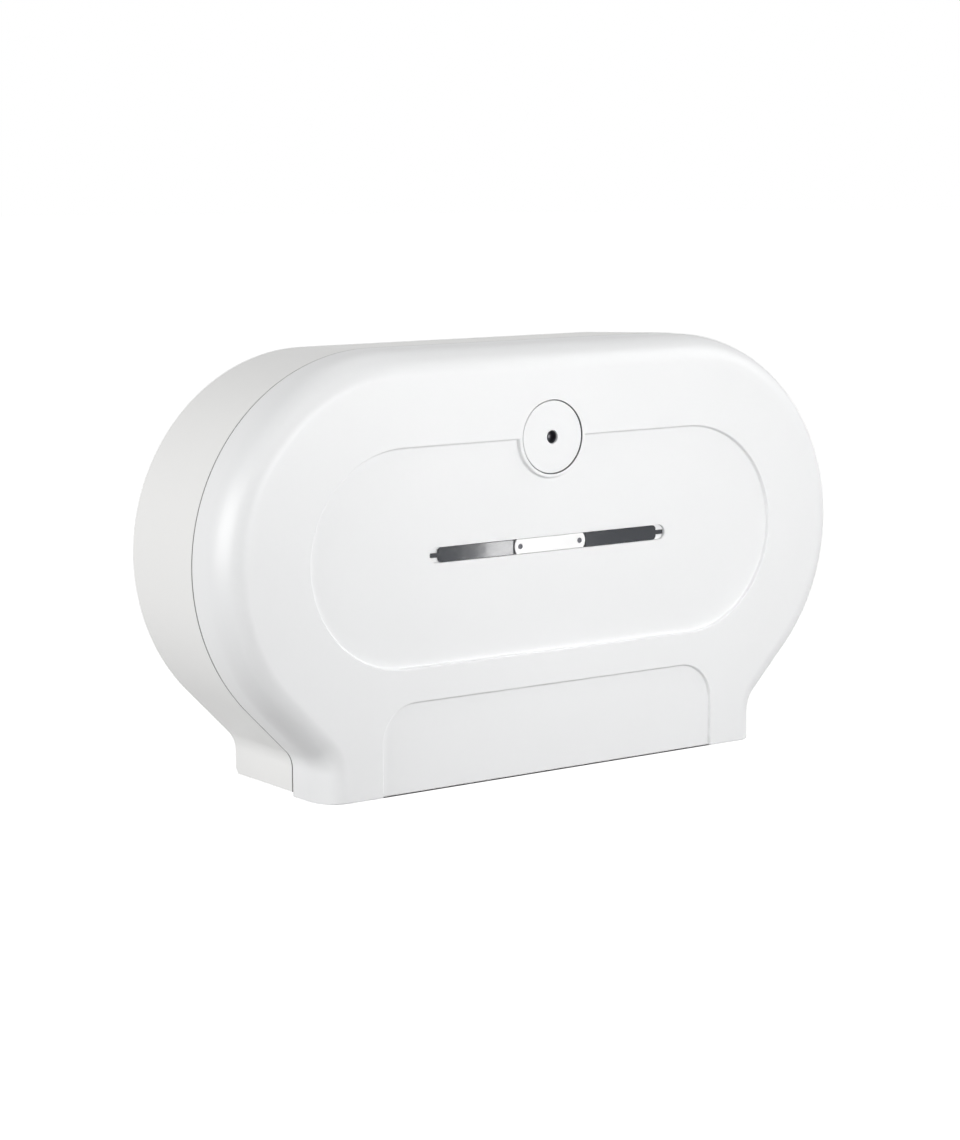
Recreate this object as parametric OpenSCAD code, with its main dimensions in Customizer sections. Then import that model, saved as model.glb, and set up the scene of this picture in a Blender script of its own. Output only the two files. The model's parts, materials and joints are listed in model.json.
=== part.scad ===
// Twin jumbo toilet roll dispenser: a rear casing for the wall, a front cover that swings down
// on two hinge pins, two roll hubs, a key lock and an outlet frame with tear blades.
// X runs to the right, Y towards the wall and Z up. The origin is on the wall plane, midway
// between the two roll axes. "Depth" is a distance in front of the wall, so depth = -Y.

/* [Outline] */
// Radius of the round ends
end_r = 140; // [134:1:148]
// Distance between the two roll axes
roll_pitch = 248; // [240:1:260]
// How far below level the round ends stop, in degrees
end_turn = 44.5; // [42:0.5:47]
// Width of the foot
foot_w = 379; // [370:1:388]
// Radius of the hollow fillet between slanted side and foot
foot_fillet = 17; // [12:0.5:24]
// Height from the roll axes down to the bottom edge of the cover
foot_drop = 160; // [156:1:168]

/* [Mouldings] */
// Wall thickness of casing and cover
wall = 3; // [2.6:0.1:3.4]
// Depth of the rear casing, from the wall to the seam
casing_depth = 85; // [80:1:92]
// Depth of the front cover, from the seam to its face
cover_depth = 42; // [40:1:46]
// How much narrower the rear casing is at the wall, on each side
casing_draft = 3.5; // [1:0.1:5]
// The same for the casing's foot
foot_draft = 6.3; // [1:0.1:8]
// Height of the casing's bottom edge above the cover's
casing_lift = 3; // [2.8:0.1:3.6]
// How much lower the casing's bottom edge is at the wall than at the seam
casing_fall = 2.3; // [0:0.1:2.6]
// Length and height of the cut-back lower corner at the wall
casing_corner = 3.5; // [2:0.5:8]
// Gap in the seam, and beside the lip that enters the cover
seam_gap = 0.4; // [0.3:0.05:0.6]
// How far the lip enters the cover
lip_reach = 4; // [3:0.5:5]
// Thickness of the lip
lip_t = 1.5; // [1.2:0.1:2]
// Radius of the cover's round edge where it leaves the side wall
edge_side_r = 31; // [28:0.5:33]
// Radius of the cover's round edge where it meets the face
edge_face_r = 14.75; // [12:0.25:16]
// Angle at which the one radius passes into the other
edge_turn = 37; // [33:1:42]

/* [Back of the casing] */
// How far the back plate is set in from the wall
back_setin = 4; // [3:0.5:6]
// Thickness of the ribs behind the back plate
rib_t = 2; // [1.5:0.1:3]
// Distance between the wall screw holes, across
wall_hole_x = 300; // [280:1:310]
// Distance between the wall screw holes, up and down
wall_hole_z = 140; // [120:1:160]
// Diameter of the wall screw holes
wall_hole_d = 5.5; // [4.5:0.1:6.5]
// Diameter of the pads around the wall screw holes
wall_pad_d = 22; // [16:1:26]
// How far these pads stand up inside the casing
wall_pad_rise = 2; // [1:0.5:3]

/* [Face of the cover] */
// Width of the sunk panel
panel_w = 396; // [380:1:404]
// Height of the sunk panel
panel_h = 149; // [140:1:154]
// Height of the panel's middle above the roll axes
panel_z = 0.7; // [-1:0.1:2]
// How far the panel is sunk
panel_sink = 3; // [2.4:0.1:3.6]
// Width of the lower recess, open at the bottom
apron_w = 286; // [260:1:300]
// Height of the lower recess
apron_h = 62.2; // [56:0.1:68]
// Corner radius of the lower recess
apron_r = 26.8; // [20:0.1:32]
// How far the lower recess is sunk
apron_sink = 2.5; // [2:0.1:3]

/* [Level windows] */
// Length of the slot that holds both windows
slot_w = 204; // [196:1:210]
// Height of the slot
slot_h = 10.7; // [9.5:0.1:12]
// Depth of the slot's floor below the panel
slot_sink = 2.2; // [1.8:0.1:2.6]
// Thickness of the moulding behind the slot
slot_back = 2; // [1.5:0.1:3]
// Width of the border of that moulding around the slot
slot_border = 4; // [3:0.5:6]
// Gap around each lens
lens_gap = 0.25; // [0.15:0.05:0.4]
// Thickness of the lenses
lens_t = 1.6; // [1.2:0.1:1.8]
// Distance from the middle to the shoulder of a lens
lens_shoulder = 94.5; // [90:0.5:96]
// Radius of the shoulder's corners
lens_corner_r = 2; // [1:0.1:3]
// Height of the neck at the outer end of a lens
lens_neck_h = 3.1; // [2.4:0.1:4]
// Length of that neck
lens_neck = 6.2; // [5:0.1:6.6]
// Thickness of the tongue that passes under the bridge plate
tongue_t = 0.8; // [0.6:0.1:0.9]
// Length of the tongue
tongue_l = 3.2; // [2:0.1:4]
// Ledge left around the hole behind a lens
ledge = 2; // [1.5:0.1:2.4]
// Length of the bridge plate between the lenses
bridge_w = 61; // [56:0.5:66]
// How far the ends of the bridge plate bulge
bridge_bulge = 1.8; // [1:0.1:2.6]
// Thickness of the bridge plate
bridge_t = 2; // [1.6:0.1:2.1]
// Distance from each end of the bridge plate to its screw
bridge_screw_in = 4.8; // [4.4:0.1:6]
// Diameter of the heads of those screws
bridge_head_d = 3.6; // [3:0.1:4.4]

/* [Lock] */
// Diameter of the round lock disc
disc_d = 50.4; // [46:0.2:54]
// Thickness of the lock disc
disc_t = 2.2; // [1.8:0.1:2.6]
// Gap around the lock disc
disc_gap = 0.5; // [0.3:0.05:0.8]
// Width of the rim of the boss around the disc
boss_rim = 2.7; // [2:0.1:4]
// Diameter of the key hole in the disc
keyhole_d = 9.2; // [8.4:0.1:10]
// Diameter of the lock housing
housing_d = 19; // [17:0.5:21]
// Diameter of the flange of the lock housing
housing_flange_d = 24; // [23:0.5:26]
// Thickness of that flange
housing_flange_t = 1; // [0.8:0.1:1.2]
// Length of the lock housing behind its flange
housing_l = 17.5; // [16:0.5:19]
// Diameter of the turning plug
plug_d = 12; // [11:0.2:13]
// Depth of the key socket in the plug
socket_l = 5; // [4:0.5:7]
// Diameter of the key socket
socket_d = 8.4; // [7.6:0.1:8.8]
// Diameter of the pin that guides the key
key_pin_d = 2.4; // [1.8:0.1:3]
// Free length of that pin
key_pin_l = 3; // [2:0.1:3.4]
// Thickness of the lock nut
nut_t = 3; // [2.4:0.1:4]
// Width of the lock nut across its corners
nut_w = 28; // [25:0.5:30]
// Thickness of the cam
cam_t = 3; // [2.5:0.1:4]
// Reach of the cam from the lock's axis
cam_reach = 20; // [18:0.5:22]
// Width of the cam's arm
cam_w = 12; // [10:0.5:14]
// Diameter of the cam's round end on the plug
cam_hub_d = 18; // [16:0.5:19]
// Radial clearance of every turning fit
turn_gap = 0.05; // [0.02:0.01:0.08]
// Gap between pieces that pass each other
pass_gap = 0.4; // [0.3:0.05:0.6]

/* [Latch post] */
// Width of the post
post_w = 42; // [38:1:46]
// Height of the post's section
post_h = 27; // [24:1:30]
// Thickness of the post's walls
post_t = 3; // [2.5:0.1:4]
// Width of the flange around the post's foot
post_flange = 8; // [7:0.5:10]
// Thickness of the hook
hook_t = 3; // [2.5:0.1:4]
// Gap between the lock housing and the hook's lip
hook_gap = 1.5; // [1:0.1:2]

/* [Hinge] */
// Gap between the outlet frame and each hinge
hinge_off_frame = 2; // [1:0.25:3]
// Length of one hinge
hinge_l = 24; // [22:0.5:26]
// Length of each outer knuckle
knuckle_l = 6; // [5:0.5:7]
// Radius of the knuckles
knuckle_r = 3; // [2.8:0.1:3]
// Diameter of the hinge pins
hinge_pin_d = 3.2; // [2.8:0.1:3.4]
// Diameter of their heads
hinge_head_d = 5; // [4.4:0.1:5.6]
// Thickness of their heads
hinge_head_t = 1.4; // [1:0.1:2]

/* [Roll hubs] */
// Diameter of the hub's tube
hub_d = 52; // [48:1:54]
// Wall of the hub's tube
hub_wall = 2.2; // [1.8:0.1:3]
// How far the ribs on the tube stand out
hub_rib = 1.5; // [1:0.1:2]
// Number of ribs on the tube
hub_ribs = 6; // [3:1:9]
// Length of the hub
hub_l = 96; // [88:1:98]
// Diameter of the hub's flange
flange_d = 84; // [76:1:90]
// Thickness of the hub's flange
flange_t = 2.4; // [2:0.1:3]
// Number of round holes in the flange
flange_holes = 6; // [4:1:8]
// Diameter of the round holes in the flange
flange_hole_d = 9; // [6:0.5:10]
// Wall of the hub's inner sleeve
sleeve_wall = 2.6; // [2:0.1:4]
// Number of webs inside the hub
hub_webs = 3; // [3:1:6]
// Diameter of the axle
axle_d = 12; // [10:0.5:14]
// Diameter of the axle's foot
axle_foot_d = 48; // [44:1:52]
// Thickness of the axle's foot
axle_foot_t = 3; // [2.5:0.1:4]
// Diameter of the circle of the axle's screws
axle_screw_pcd = 36; // [33:1:38]
// Outer diameter of the brake spring
brake_d = 26; // [22:1:28]
// Thickness of the brake spring
brake_t = 0.6; // [0.4:0.1:0.8]
// Height of the raised points on the brake spring
brake_rise = 0.5; // [0.3:0.1:0.8]
// Diameter of the washer at the end of the axle
washer_d = 20; // [18:1:24]
// Thickness of that washer
washer_t = 1.6; // [1.2:0.1:2.4]
// Length of the screw in the axle's end
end_screw_l = 14; // [10:1:18]

/* [Screws] */
// Shank diameter of the small screws
screw_d = 3; // [2.6:0.1:3.4]
// Head diameter of the small screws
screw_head_d = 5.6; // [5:0.1:6]
// Head height of the small screws
screw_head_t = 1.6; // [1.3:0.1:2]

/* [Outlet] */
// Width of the outlet frame
frame_w = 298; // [296:1:300]
// Thickness of the outlet frame
frame_t = 3; // [2.5:0.1:4]
// Depth to which the outlet frame reaches
frame_depth = 118; // [114:1:119]
// Width of the frame's front bar
frame_bar = 6; // [5:0.5:8]
// Width of the frame's side bars
side_bar = 11; // [10:0.5:13]
// Width of the bar between the two outlets
mid_bar = 44; // [38:1:50]
// Height of the stiffening rim on the frame
frame_rim = 6; // [4:0.5:8]
// Width of the casing's bottom flange beside the frame's opening
flange_lap = 9; // [8:0.5:10]
// Thickness of the tear blades
blade_t = 1; // [0.8:0.1:1.4]
// Distance between two teeth
tooth_pitch = 4; // [3:0.5:6]
// Height of the teeth
tooth_h = 3.5; // [2.5:0.1:4.5]

/* [Hidden] */
$fn = 72;

axis_x = roll_pitch / 2;
foot_x = foot_w / 2;
face_depth = casing_depth + cover_depth;
cover_low = -foot_drop;
casing_low = cover_low + casing_lift;
seam_depth = casing_depth + seam_gap;
// Steps along the round ends, the hollow fillets and the round edge of the cover
end_steps = 34;
fillet_steps = 6;
edge_steps = 5;
// The round edge of the cover: how far it reaches in from the side and back from the face
edge_inset = edge_side_r * (1 - cos(edge_turn)) + edge_face_r * cos(edge_turn);
edge_depth = edge_side_r * sin(edge_turn) + edge_face_r * (1 - sin(edge_turn));
plate_front = back_setin + wall;
panel_depth = face_depth - panel_sink;
apron_depth = face_depth - apron_sink;
apron_top = cover_low + apron_h;
slot_floor = panel_depth - slot_sink;
bridge_screw_x = bridge_w / 2 - bridge_screw_in;
disc_z = panel_z + panel_h / 2;
boss_r = disc_d / 2 + disc_gap + boss_rim;
disc_back = face_depth - disc_t;
cup_back = panel_depth - wall;
housing_front = disc_back;
housing_seat = housing_front - housing_flange_t;
housing_back = housing_seat - housing_l;
cam_front = housing_back - pass_gap;
cam_back = cam_front - cam_t;
plug_front = disc_back - pass_gap;
fit = 0.03;
hinge_x = frame_w / 2 + hinge_off_frame + hinge_l / 2;
hinge_z = casing_low;
hinge_depth = casing_depth;
inner_knuckle_l = hinge_l - 2 * knuckle_l - 2 * pass_gap;
small_bore = screw_d / 2 + fit;
axle_front = plate_front + axle_foot_t;
hub_back = axle_front + brake_t + brake_rise + 0.3;
hub_front = hub_back + hub_l;
axle_end = hub_front + pass_gap;
hook_x = -housing_d / 2 - hook_gap;
hook_side = -cam_reach - 6;
post_left = hook_side - hook_t;
post_right = post_left + post_w;
post_mid_z = disc_z;
post_front = cam_back - screw_head_t - 2.5;
hook_back = cam_front + 0.6;
frame_low = casing_low + wall;
frame_top = frame_low + frame_t;
outlet_x0 = mid_bar / 2;
outlet_x1 = frame_w / 2 - side_bar;
outlet_d0 = plate_front + 7;
outlet_d1 = frame_depth - frame_bar;
side_screw_x = frame_w / 2 - 4;
side_screw_depths = [24, 50, 76];
mid_screw_depths = [30, 94];

plastic_white = [0.93, 0.93, 0.92];
inner_white = [0.88, 0.88, 0.87];
smoke = [0.16, 0.18, 0.21];
steel = [0.70, 0.71, 0.72];
zinc = [0.55, 0.56, 0.58];
grey_plastic = [0.62, 0.63, 0.64];

// ---- helpers --------------------------------------------------------------------------

// A flat shape drawn in X and Z, thick between two depths
module slab(from, to) translate([0, -from, 0]) rotate([90, 0, 0]) linear_extrude(to - from)
    children();
// A round bar along the depth, at a place in X and Z
module bar(at, r, from, to) translate([at[0], -from, at[1]]) rotate([90, 0, 0])
    cylinder(r = r, h = to - from);
// A round bar along X, on the hinge axis or beside it
module cross_bar(x0, x1, r) translate([x0, -hinge_depth, hinge_z]) rotate([0, 90, 0])
    cylinder(r = r, h = x1 - x0);
// A box between two corners given in X, depth and Z
module block(x, depth, z) translate([x[0], -depth[1], z[0]])
    cube([x[1] - x[0], depth[1] - depth[0], z[1] - z[0]]);
// The same shape again on the other side of the middle
module both() {
    children();
    mirror([1, 0, 0]) children();
}
module stadium(w, h) {
    square([w - h, h], center = true);
    for (side = [-1, 1]) translate([side * (w - h) / 2, 0]) circle(d = h);
}
function mirrored(points) = [for (i = [len(points) - 1:-1:0]) [-points[i][0], points[i][1]]];

// Half of the outline, from the foot up to the middle of the top, moved in by "inset"
// and its foot moved in by "foot_in"
function half_outline(inset, foot_in, low) = let (
    r = foot_fillet + inset,
    fillet_x = foot_x - foot_in + r,
    fillet_z = (cos(end_turn) * (fillet_x - axis_x) - end_r - foot_fillet) / sin(end_turn)) concat(
    [[foot_x - foot_in, low]],
    [for (i = [0:fillet_steps]) let (a = 180 - end_turn * i / fillet_steps)
        [fillet_x + r * cos(a), fillet_z + r * sin(a)]],
    [for (i = [0:end_steps]) let (a = -end_turn + (90 + end_turn) * i / end_steps)
        [axis_x + (end_r - inset) * cos(a), (end_r - inset) * sin(a)]]);
function outline(inset, foot_in, low) =
    let (half = half_outline(inset, foot_in, low)) concat(half, mirrored(half));

// A wall that follows the outline from foot to foot. Its section is a list of
// [inset, foot_in, low, depth], with as many points on the outside as on the inside
module wall_along_outline(section) {
    n = len(section);
    rings = [for (s = section) [for (p = outline(s[0], s[1], s[2])) [p[0], -s[3], p[1]]]];
    m = len(rings[0]);
    points = [for (i = [0:m - 1], k = [0:n - 1]) rings[k][i]];
    sides = [for (i = [0:m - 2], k = [0:n - 1]) let (j = (k + 1) % n)
        [i * n + j, (i + 1) * n + j, (i + 1) * n + k, i * n + k]];
    // The two ends are strips of four-sided faces across the section
    start = [for (k = [0:n / 2 - 2]) [n - 1 - k, n - 2 - k, k + 1, k]];
    end = [for (face = start) [for (k = [3:-1:0]) (m - 1) * n + face[k]]];
    polyhedron(points, concat(sides, start, end), convexity = 6);
}

// The round edge of the cover as [inset, depth], taken "t" inside the outer surface
function round_edge(t) = concat(
    [for (i = [0:edge_steps]) let (a = edge_turn * i / edge_steps)
        [edge_side_r - (edge_side_r - t) * cos(a),
            face_depth - edge_depth + (edge_side_r - t) * sin(a)]],
    [for (i = [1:edge_steps]) let (a = edge_turn + (90 - edge_turn) * i / edge_steps)
        [edge_inset - (edge_face_r - t) * cos(a),
            face_depth - edge_face_r + (edge_face_r - t) * sin(a)]]);
function reversed(list) = [for (i = [len(list) - 1:-1:0]) list[i]];

// How much narrower the casing is at a depth than at the seam, on its round sides and its foot
function behind_seam(depth) = max(0, 1 - depth / casing_depth);
function casing_in(depth) = casing_draft * behind_seam(depth);
function casing_foot_in(depth) = foot_draft * behind_seam(depth);
// The casing's bottom edge, with its cut-back corner at the wall
function casing_low_at(depth) =
    casing_low - casing_fall * behind_seam(depth) + max(0, casing_corner - depth);
function casing_place(t, depth) =
    [t + casing_in(depth), t + casing_foot_in(depth), casing_low_at(depth), depth];
function casing_outline(t, depth) = outline(t + casing_in(depth), t + casing_foot_in(depth), casing_low);

// A pan-head screw along the depth: its head's seat, and where its tip ends
module pan_screw(at, seat, tip, d, head_d, head_t) difference() {
    union() {
        bar(at, d / 2, tip, seat + head_t / 2);
        bar(at, head_d / 2, seat, seat + head_t);
    }
    for (turn = [0, 90]) translate([at[0], -(seat + head_t), at[1]]) rotate([0, turn, 0])
        cube([head_d * 0.6, head_t, 0.8], center = true);
}

// ---- casing and cover -----------------------------------------------------------------

latch_screw_at = [for (x = [post_left - 4, post_right + 4], z = [-1, 1])
    [x, post_mid_z + z * (post_h / 2 + 4)]];
axle_screw_at = [for (side = [-1, 1], i = [0:2])
    [side * axis_x + axle_screw_pcd / 2 * sin(120 * i), axle_screw_pcd / 2 * cos(120 * i)]];
wall_hole_at = [for (x = [-1, 1], z = [-1, 1]) [x * wall_hole_x / 2, z * wall_hole_z / 2]];
rib_x = [0, axis_x / 2, axis_x, wall_hole_x / 2 + 42];
rib_z = [-wall_hole_z / 2, 0, wall_hole_z / 2];

module casing_rim() {
    lip_in = wall + seam_gap;
    lip_root = casing_depth - 2.5 * lip_reach;
    wall_along_outline([for (place = [[0, 0], [0, casing_corner], [0, casing_depth],
        [lip_in, casing_depth], [lip_in, casing_depth + lip_reach],
        [lip_in + lip_t, casing_depth + lip_reach], [lip_in + lip_t, lip_root + lip_reach],
        [wall, lip_root], [wall, casing_corner], [wall, 0]]) casing_place(place[0], place[1])]);
}
module casing_back() {
    slab(back_setin, plate_front) polygon(casing_outline(wall / 2, back_setin));
    slab(0, back_setin + 0.5) intersection() {
        polygon(casing_outline(wall / 2, 0));
        union() {
            for (x = rib_x, side = [-1, 1]) translate([side * x, 0])
                square([rib_t, 2 * foot_drop], center = true);
            for (z = rib_z) translate([0, z]) square([roll_pitch + 2 * end_r, rib_t], center = true);
        }
    }
    for (at = wall_hole_at) bar(at, wall_pad_d / 2, 0, plate_front + wall_pad_rise);
    for (at = concat(latch_screw_at, axle_screw_at)) bar(at, screw_d * 1.5, 0.5, plate_front);
}
module casing_bottom() {
    // A flange with one wide cut-out, open to the front, that the outlet frame covers
    edge_back = foot_x - foot_draft - wall / 2;
    edge_front = foot_x - wall / 2;
    translate([0, 0, casing_low]) linear_extrude(wall) polygon([[-edge_back, 0], [edge_back, 0],
        [edge_front, -casing_depth], [-edge_front, -casing_depth]]);
}
module hinge_knuckles(radius, extra) both() for (side = [-1, 1])
    cross_bar(hinge_x + side * (hinge_l - knuckle_l) / 2 - knuckle_l / 2 - extra,
        hinge_x + side * (hinge_l - knuckle_l) / 2 + knuckle_l / 2 + extra, radius);
module middle_knuckle(radius, extra) both()
    cross_bar(hinge_x - inner_knuckle_l / 2 - extra, hinge_x + inner_knuckle_l / 2 + extra, radius);

module rear_casing() color(plastic_white) difference() {
    union() {
        casing_rim();
        casing_back();
        casing_bottom();
        hinge_knuckles(knuckle_r, 0);
    }
    // The lip stops above the foot
    block([-foot_w, foot_w], [casing_depth + 0.001, face_depth], [cover_low - 1, -foot_drop * 0.6]);
    for (at = wall_hole_at) bar(at, wall_hole_d / 2, -1, face_depth);
    for (at = concat(latch_screw_at, axle_screw_at)) bar(at, small_bore, 1.2, face_depth);
    block([-frame_w / 2 + flange_lap, frame_w / 2 - flange_lap],
        [plate_front + 5, face_depth], [cover_low - 1, casing_low + wall + 1]);
    both() for (d = side_screw_depths) translate([side_screw_x, -d, casing_low - 1])
        cylinder(r = small_bore, h = wall + 2);
    middle_knuckle(knuckle_r + pass_gap, pass_gap);
    pin_room();
}

module panel_shape(grow) translate([0, panel_z]) stadium(panel_w + 2 * grow, panel_h + 2 * grow);
module apron_shape(grow) {
    half = apron_w / 2 + grow;
    r = apron_r + grow;
    top = apron_top + grow;
    both_2d() translate([half - r, top - r]) circle(r = r);
    translate([-half + r, cover_low]) square([2 * (half - r), top - cover_low]);
    translate([-half, cover_low]) square([2 * half, top - r - cover_low]);
}
module both_2d() {
    children();
    mirror([1, 0]) children();
}
module cover_edge() wall_along_outline([for (place = concat([[0, seam_depth]], round_edge(0),
    [[edge_inset + wall, face_depth], [edge_inset + wall, face_depth - wall]],
    reversed(round_edge(wall)), [[wall, seam_depth]])) [place[0], place[0], cover_low, place[1]]]);
function cover_outline(inset) = outline(inset, inset, cover_low);
module cover_face() {
    slab(face_depth - wall, face_depth) difference() {
        polygon(cover_outline(edge_inset + wall / 2));
        difference() {
            panel_shape(0);
            translate([0, disc_z]) circle(r = boss_r);
        }
        apron_shape(0);
    }
    // Floors of the two recesses, each one wall thick and lapped by the face around it
    slab(panel_depth - wall, panel_depth) panel_shape(wall);
    slab(apron_depth - wall, apron_depth) intersection() {
        apron_shape(wall);
        polygon(cover_outline(edge_inset));
    }
    // Cup that holds the lock disc, and the moulding behind the window slot
    bar([0, disc_z], boss_r, cup_back, face_depth - wall / 2);
    slab(panel_depth - wall - slot_back, panel_depth - wall / 2) translate([0, panel_z])
        stadium(slot_w + 2 * slot_border, slot_h + 2 * slot_border);
}
module cover_corners() both() {
    // Gussets across the foot corners, which carry the hinge knuckles
    middle = round_edge(wall / 2);
    inner = hinge_x - hinge_l / 2;
    translate([0, 0, cover_low]) linear_extrude(casing_lift) polygon(concat(
        [[inner, -seam_depth], [inner, -middle[len(middle) - 1][1]]],
        [for (p = reversed(middle)) [foot_x - p[0], -p[1]]],
        [[foot_x - wall / 2, -seam_depth]]));
}
module lens_hole(side) {
    from = bridge_w / 2 + 4;
    to = lens_shoulder - 4;
    translate([side * (from + to) / 2, panel_z]) square([to - from, slot_h - 2 * ledge], center = true);
}

module front_cover() color(plastic_white) difference() {
    union() {
        cover_edge();
        cover_face();
        cover_corners();
        middle_knuckle(knuckle_r, 0);
    }
    bar([0, disc_z], disc_d / 2 + disc_gap, disc_back, face_depth + 1);
    bar([0, disc_z], housing_flange_d / 2 + pass_gap, housing_seat, face_depth);
    bar([0, disc_z], housing_d / 2 + fit, cup_back - 1, face_depth);
    slab(slot_floor, face_depth) translate([0, panel_z]) stadium(slot_w, slot_h);
    slab(cup_back - slot_back - 1, face_depth) for (side = [-1, 1]) lens_hole(side);
    for (side = [-1, 1]) bar([side * bridge_screw_x, panel_z], 1 + fit, cup_back - slot_back - 1,
        slot_floor + 1);
    hinge_knuckles(knuckle_r + pass_gap, pass_gap);
    pin_room();
}

// Room in casing and cover for the pins and their heads
module pin_room() both() {
    cross_bar(hinge_x - hinge_l, hinge_x + hinge_l, hinge_pin_d / 2 + turn_gap);
    cross_bar(hinge_x + hinge_l / 2, hinge_x + hinge_l / 2 + hinge_head_t + pass_gap,
        hinge_head_d / 2 + pass_gap);
}

// ---- hinge pins -----------------------------------------------------------------------

module hinge_pin(side) color(steel) mirror([side < 0 ? 1 : 0, 0, 0]) {
    outer = hinge_x + hinge_l / 2;
    cross_bar(hinge_x - hinge_l / 2, outer + hinge_head_t / 2, hinge_pin_d / 2);
    cross_bar(outer, outer + hinge_head_t, hinge_head_d / 2);
}

// ---- level windows --------------------------------------------------------------------

lens_in = bridge_w / 2 + 0.6;
lens_h = slot_h - 2 * lens_gap;

module lens_shape() {
    r = lens_corner_r;
    translate([lens_in, -lens_h / 2]) square([lens_shoulder - r - lens_in, lens_h]);
    translate([lens_in, -lens_h / 2 + r]) square([lens_shoulder - lens_in, lens_h - 2 * r]);
    for (z = [-1, 1]) translate([lens_shoulder - r, z * (lens_h / 2 - r)]) circle(r = r);
    translate([lens_shoulder - 1, -lens_neck_h / 2]) square([lens_neck + 1, lens_neck_h]);
}
module window_lens(side) color(smoke) mirror([side < 0 ? 1 : 0, 0, 0]) {
    slab(slot_floor, slot_floor + lens_t) translate([0, panel_z]) lens_shape();
    slab(slot_floor, slot_floor + tongue_t) translate([lens_in - tongue_l, panel_z - lens_h / 2])
        square([tongue_l + 1, lens_h]);
}
module window_bridge() color(plastic_white) {
    half_h = lens_h / 2;
    bulge_r = (half_h * half_h + bridge_bulge * bridge_bulge) / (2 * bridge_bulge);
    difference() {
        slab(slot_floor, slot_floor + bridge_t) translate([0, panel_z]) intersection() {
            square([bridge_w + 1, lens_h], center = true);
            union() {
                square([bridge_w - 2 * bridge_bulge, lens_h], center = true);
                for (side = [-1, 1]) translate([side * (bridge_w / 2 - bulge_r), 0])
                    circle(r = bulge_r);
            }
        }
        // Rebates over the tongues of the lenses, and the holes for the two screws
        both() block([lens_in - tongue_l - lens_gap, bridge_w], [0, slot_floor + tongue_t + 0.1],
            [panel_z - slot_h, panel_z + slot_h]);
        for (side = [-1, 1]) {
            bar([side * bridge_screw_x, panel_z], 1 + fit, 0, face_depth);
            bar([side * bridge_screw_x, panel_z], bridge_head_d / 2 + 0.1,
                slot_floor + bridge_t / 2, face_depth);
        }
    }
}
module bridge_screws() color(zinc) for (side = [-1, 1])
    pan_screw([side * bridge_screw_x, panel_z], slot_floor + bridge_t / 2,
        cup_back - slot_back - 1, 2, bridge_head_d, bridge_t / 2);

// ---- lock -----------------------------------------------------------------------------

module lock_disc() color(plastic_white) translate([0, -disc_back, disc_z]) rotate([90, 0, 0])
    rotate_extrude() polygon([[keyhole_d / 2, 0], [disc_d / 2, 0], [disc_d / 2, disc_t - 0.4],
        [disc_d / 2 - 0.4, disc_t], [keyhole_d / 2 + 0.4, disc_t], [keyhole_d / 2, disc_t - 0.4]]);
module lock_housing() color(zinc) difference() {
    union() {
        bar([0, disc_z], housing_flange_d / 2, housing_seat, housing_front);
        bar([0, disc_z], housing_d / 2, housing_back, housing_seat);
    }
    bar([0, disc_z], plug_d / 2 + turn_gap, housing_back - 1, face_depth);
}
module lock_nut() color(zinc) difference() {
    translate([0, -(cup_back - nut_t), disc_z]) rotate([90, 0, 0])
        cylinder(r = nut_w / 2, h = nut_t, $fn = 6);
    bar([0, disc_z], housing_d / 2 + fit, 0, face_depth);
}
module lock_plug() color(steel) difference() {
    union() {
        bar([0, disc_z], plug_d / 2, cam_front, plug_front);
        bar([0, disc_z], plug_d / 3, cam_back, cam_front + 1);
    }
    bar([0, disc_z], socket_d / 2, plug_front - socket_l, face_depth);
    bar([0, disc_z], key_pin_d / 2 + fit, plug_front - 2 * socket_l, face_depth);
    bar([0, disc_z], small_bore, 0, cam_back + 7);
}
module key_pin() color(steel)
    bar([0, disc_z], key_pin_d / 2, plug_front - 2 * socket_l, plug_front - socket_l + key_pin_l);
module lock_cam() color(zinc) slab(cam_back, cam_front) translate([0, disc_z]) difference() {
    union() {
        circle(d = cam_hub_d);
        translate([-cam_w / 2, -cam_reach + cam_w / 2]) square([cam_w, cam_reach - cam_w / 2]);
        translate([0, -cam_reach + cam_w / 2]) circle(d = cam_w);
    }
    circle(r = plug_d / 3 + fit);
}
module cam_screw() color(steel) mirror([0, 1, 0]) translate([0, 2 * cam_back, 0])
    pan_screw([0, disc_z], cam_back, cam_back - 6, screw_d, screw_head_d * 1.5, screw_head_t);

module latch_post() color(inner_white) {
    half = post_h / 2;
    difference() {
        union() {
            slab(plate_front, plate_front + post_t) translate([post_left - post_flange,
                post_mid_z - half - post_flange])
                square([post_w + 2 * post_flange, post_h + 2 * post_flange]);
            slab(plate_front, post_front) translate([post_left, post_mid_z - half])
                square([post_w, post_h]);
            // Hook: an arm beside the cam's circle and a lip in front of it
            block([post_left, hook_side], [post_front - 1, hook_back + hook_t - 0.5],
                [post_mid_z - half + 2, post_mid_z + half - 2]);
            block([post_left, hook_x], [hook_back, hook_back + hook_t - 0.5],
                [post_mid_z - half + 2, post_mid_z + half - 2]);
            for (z = [-1, 1]) post_gusset(z);
        }
        slab(plate_front - 1, post_front - post_t) translate([post_left + post_t,
            post_mid_z - half + post_t]) square([post_w - 2 * post_t, post_h - 2 * post_t]);
        for (at = latch_screw_at) bar(at, small_bore, 0, plate_front + post_t + 1);
    }
}
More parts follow.
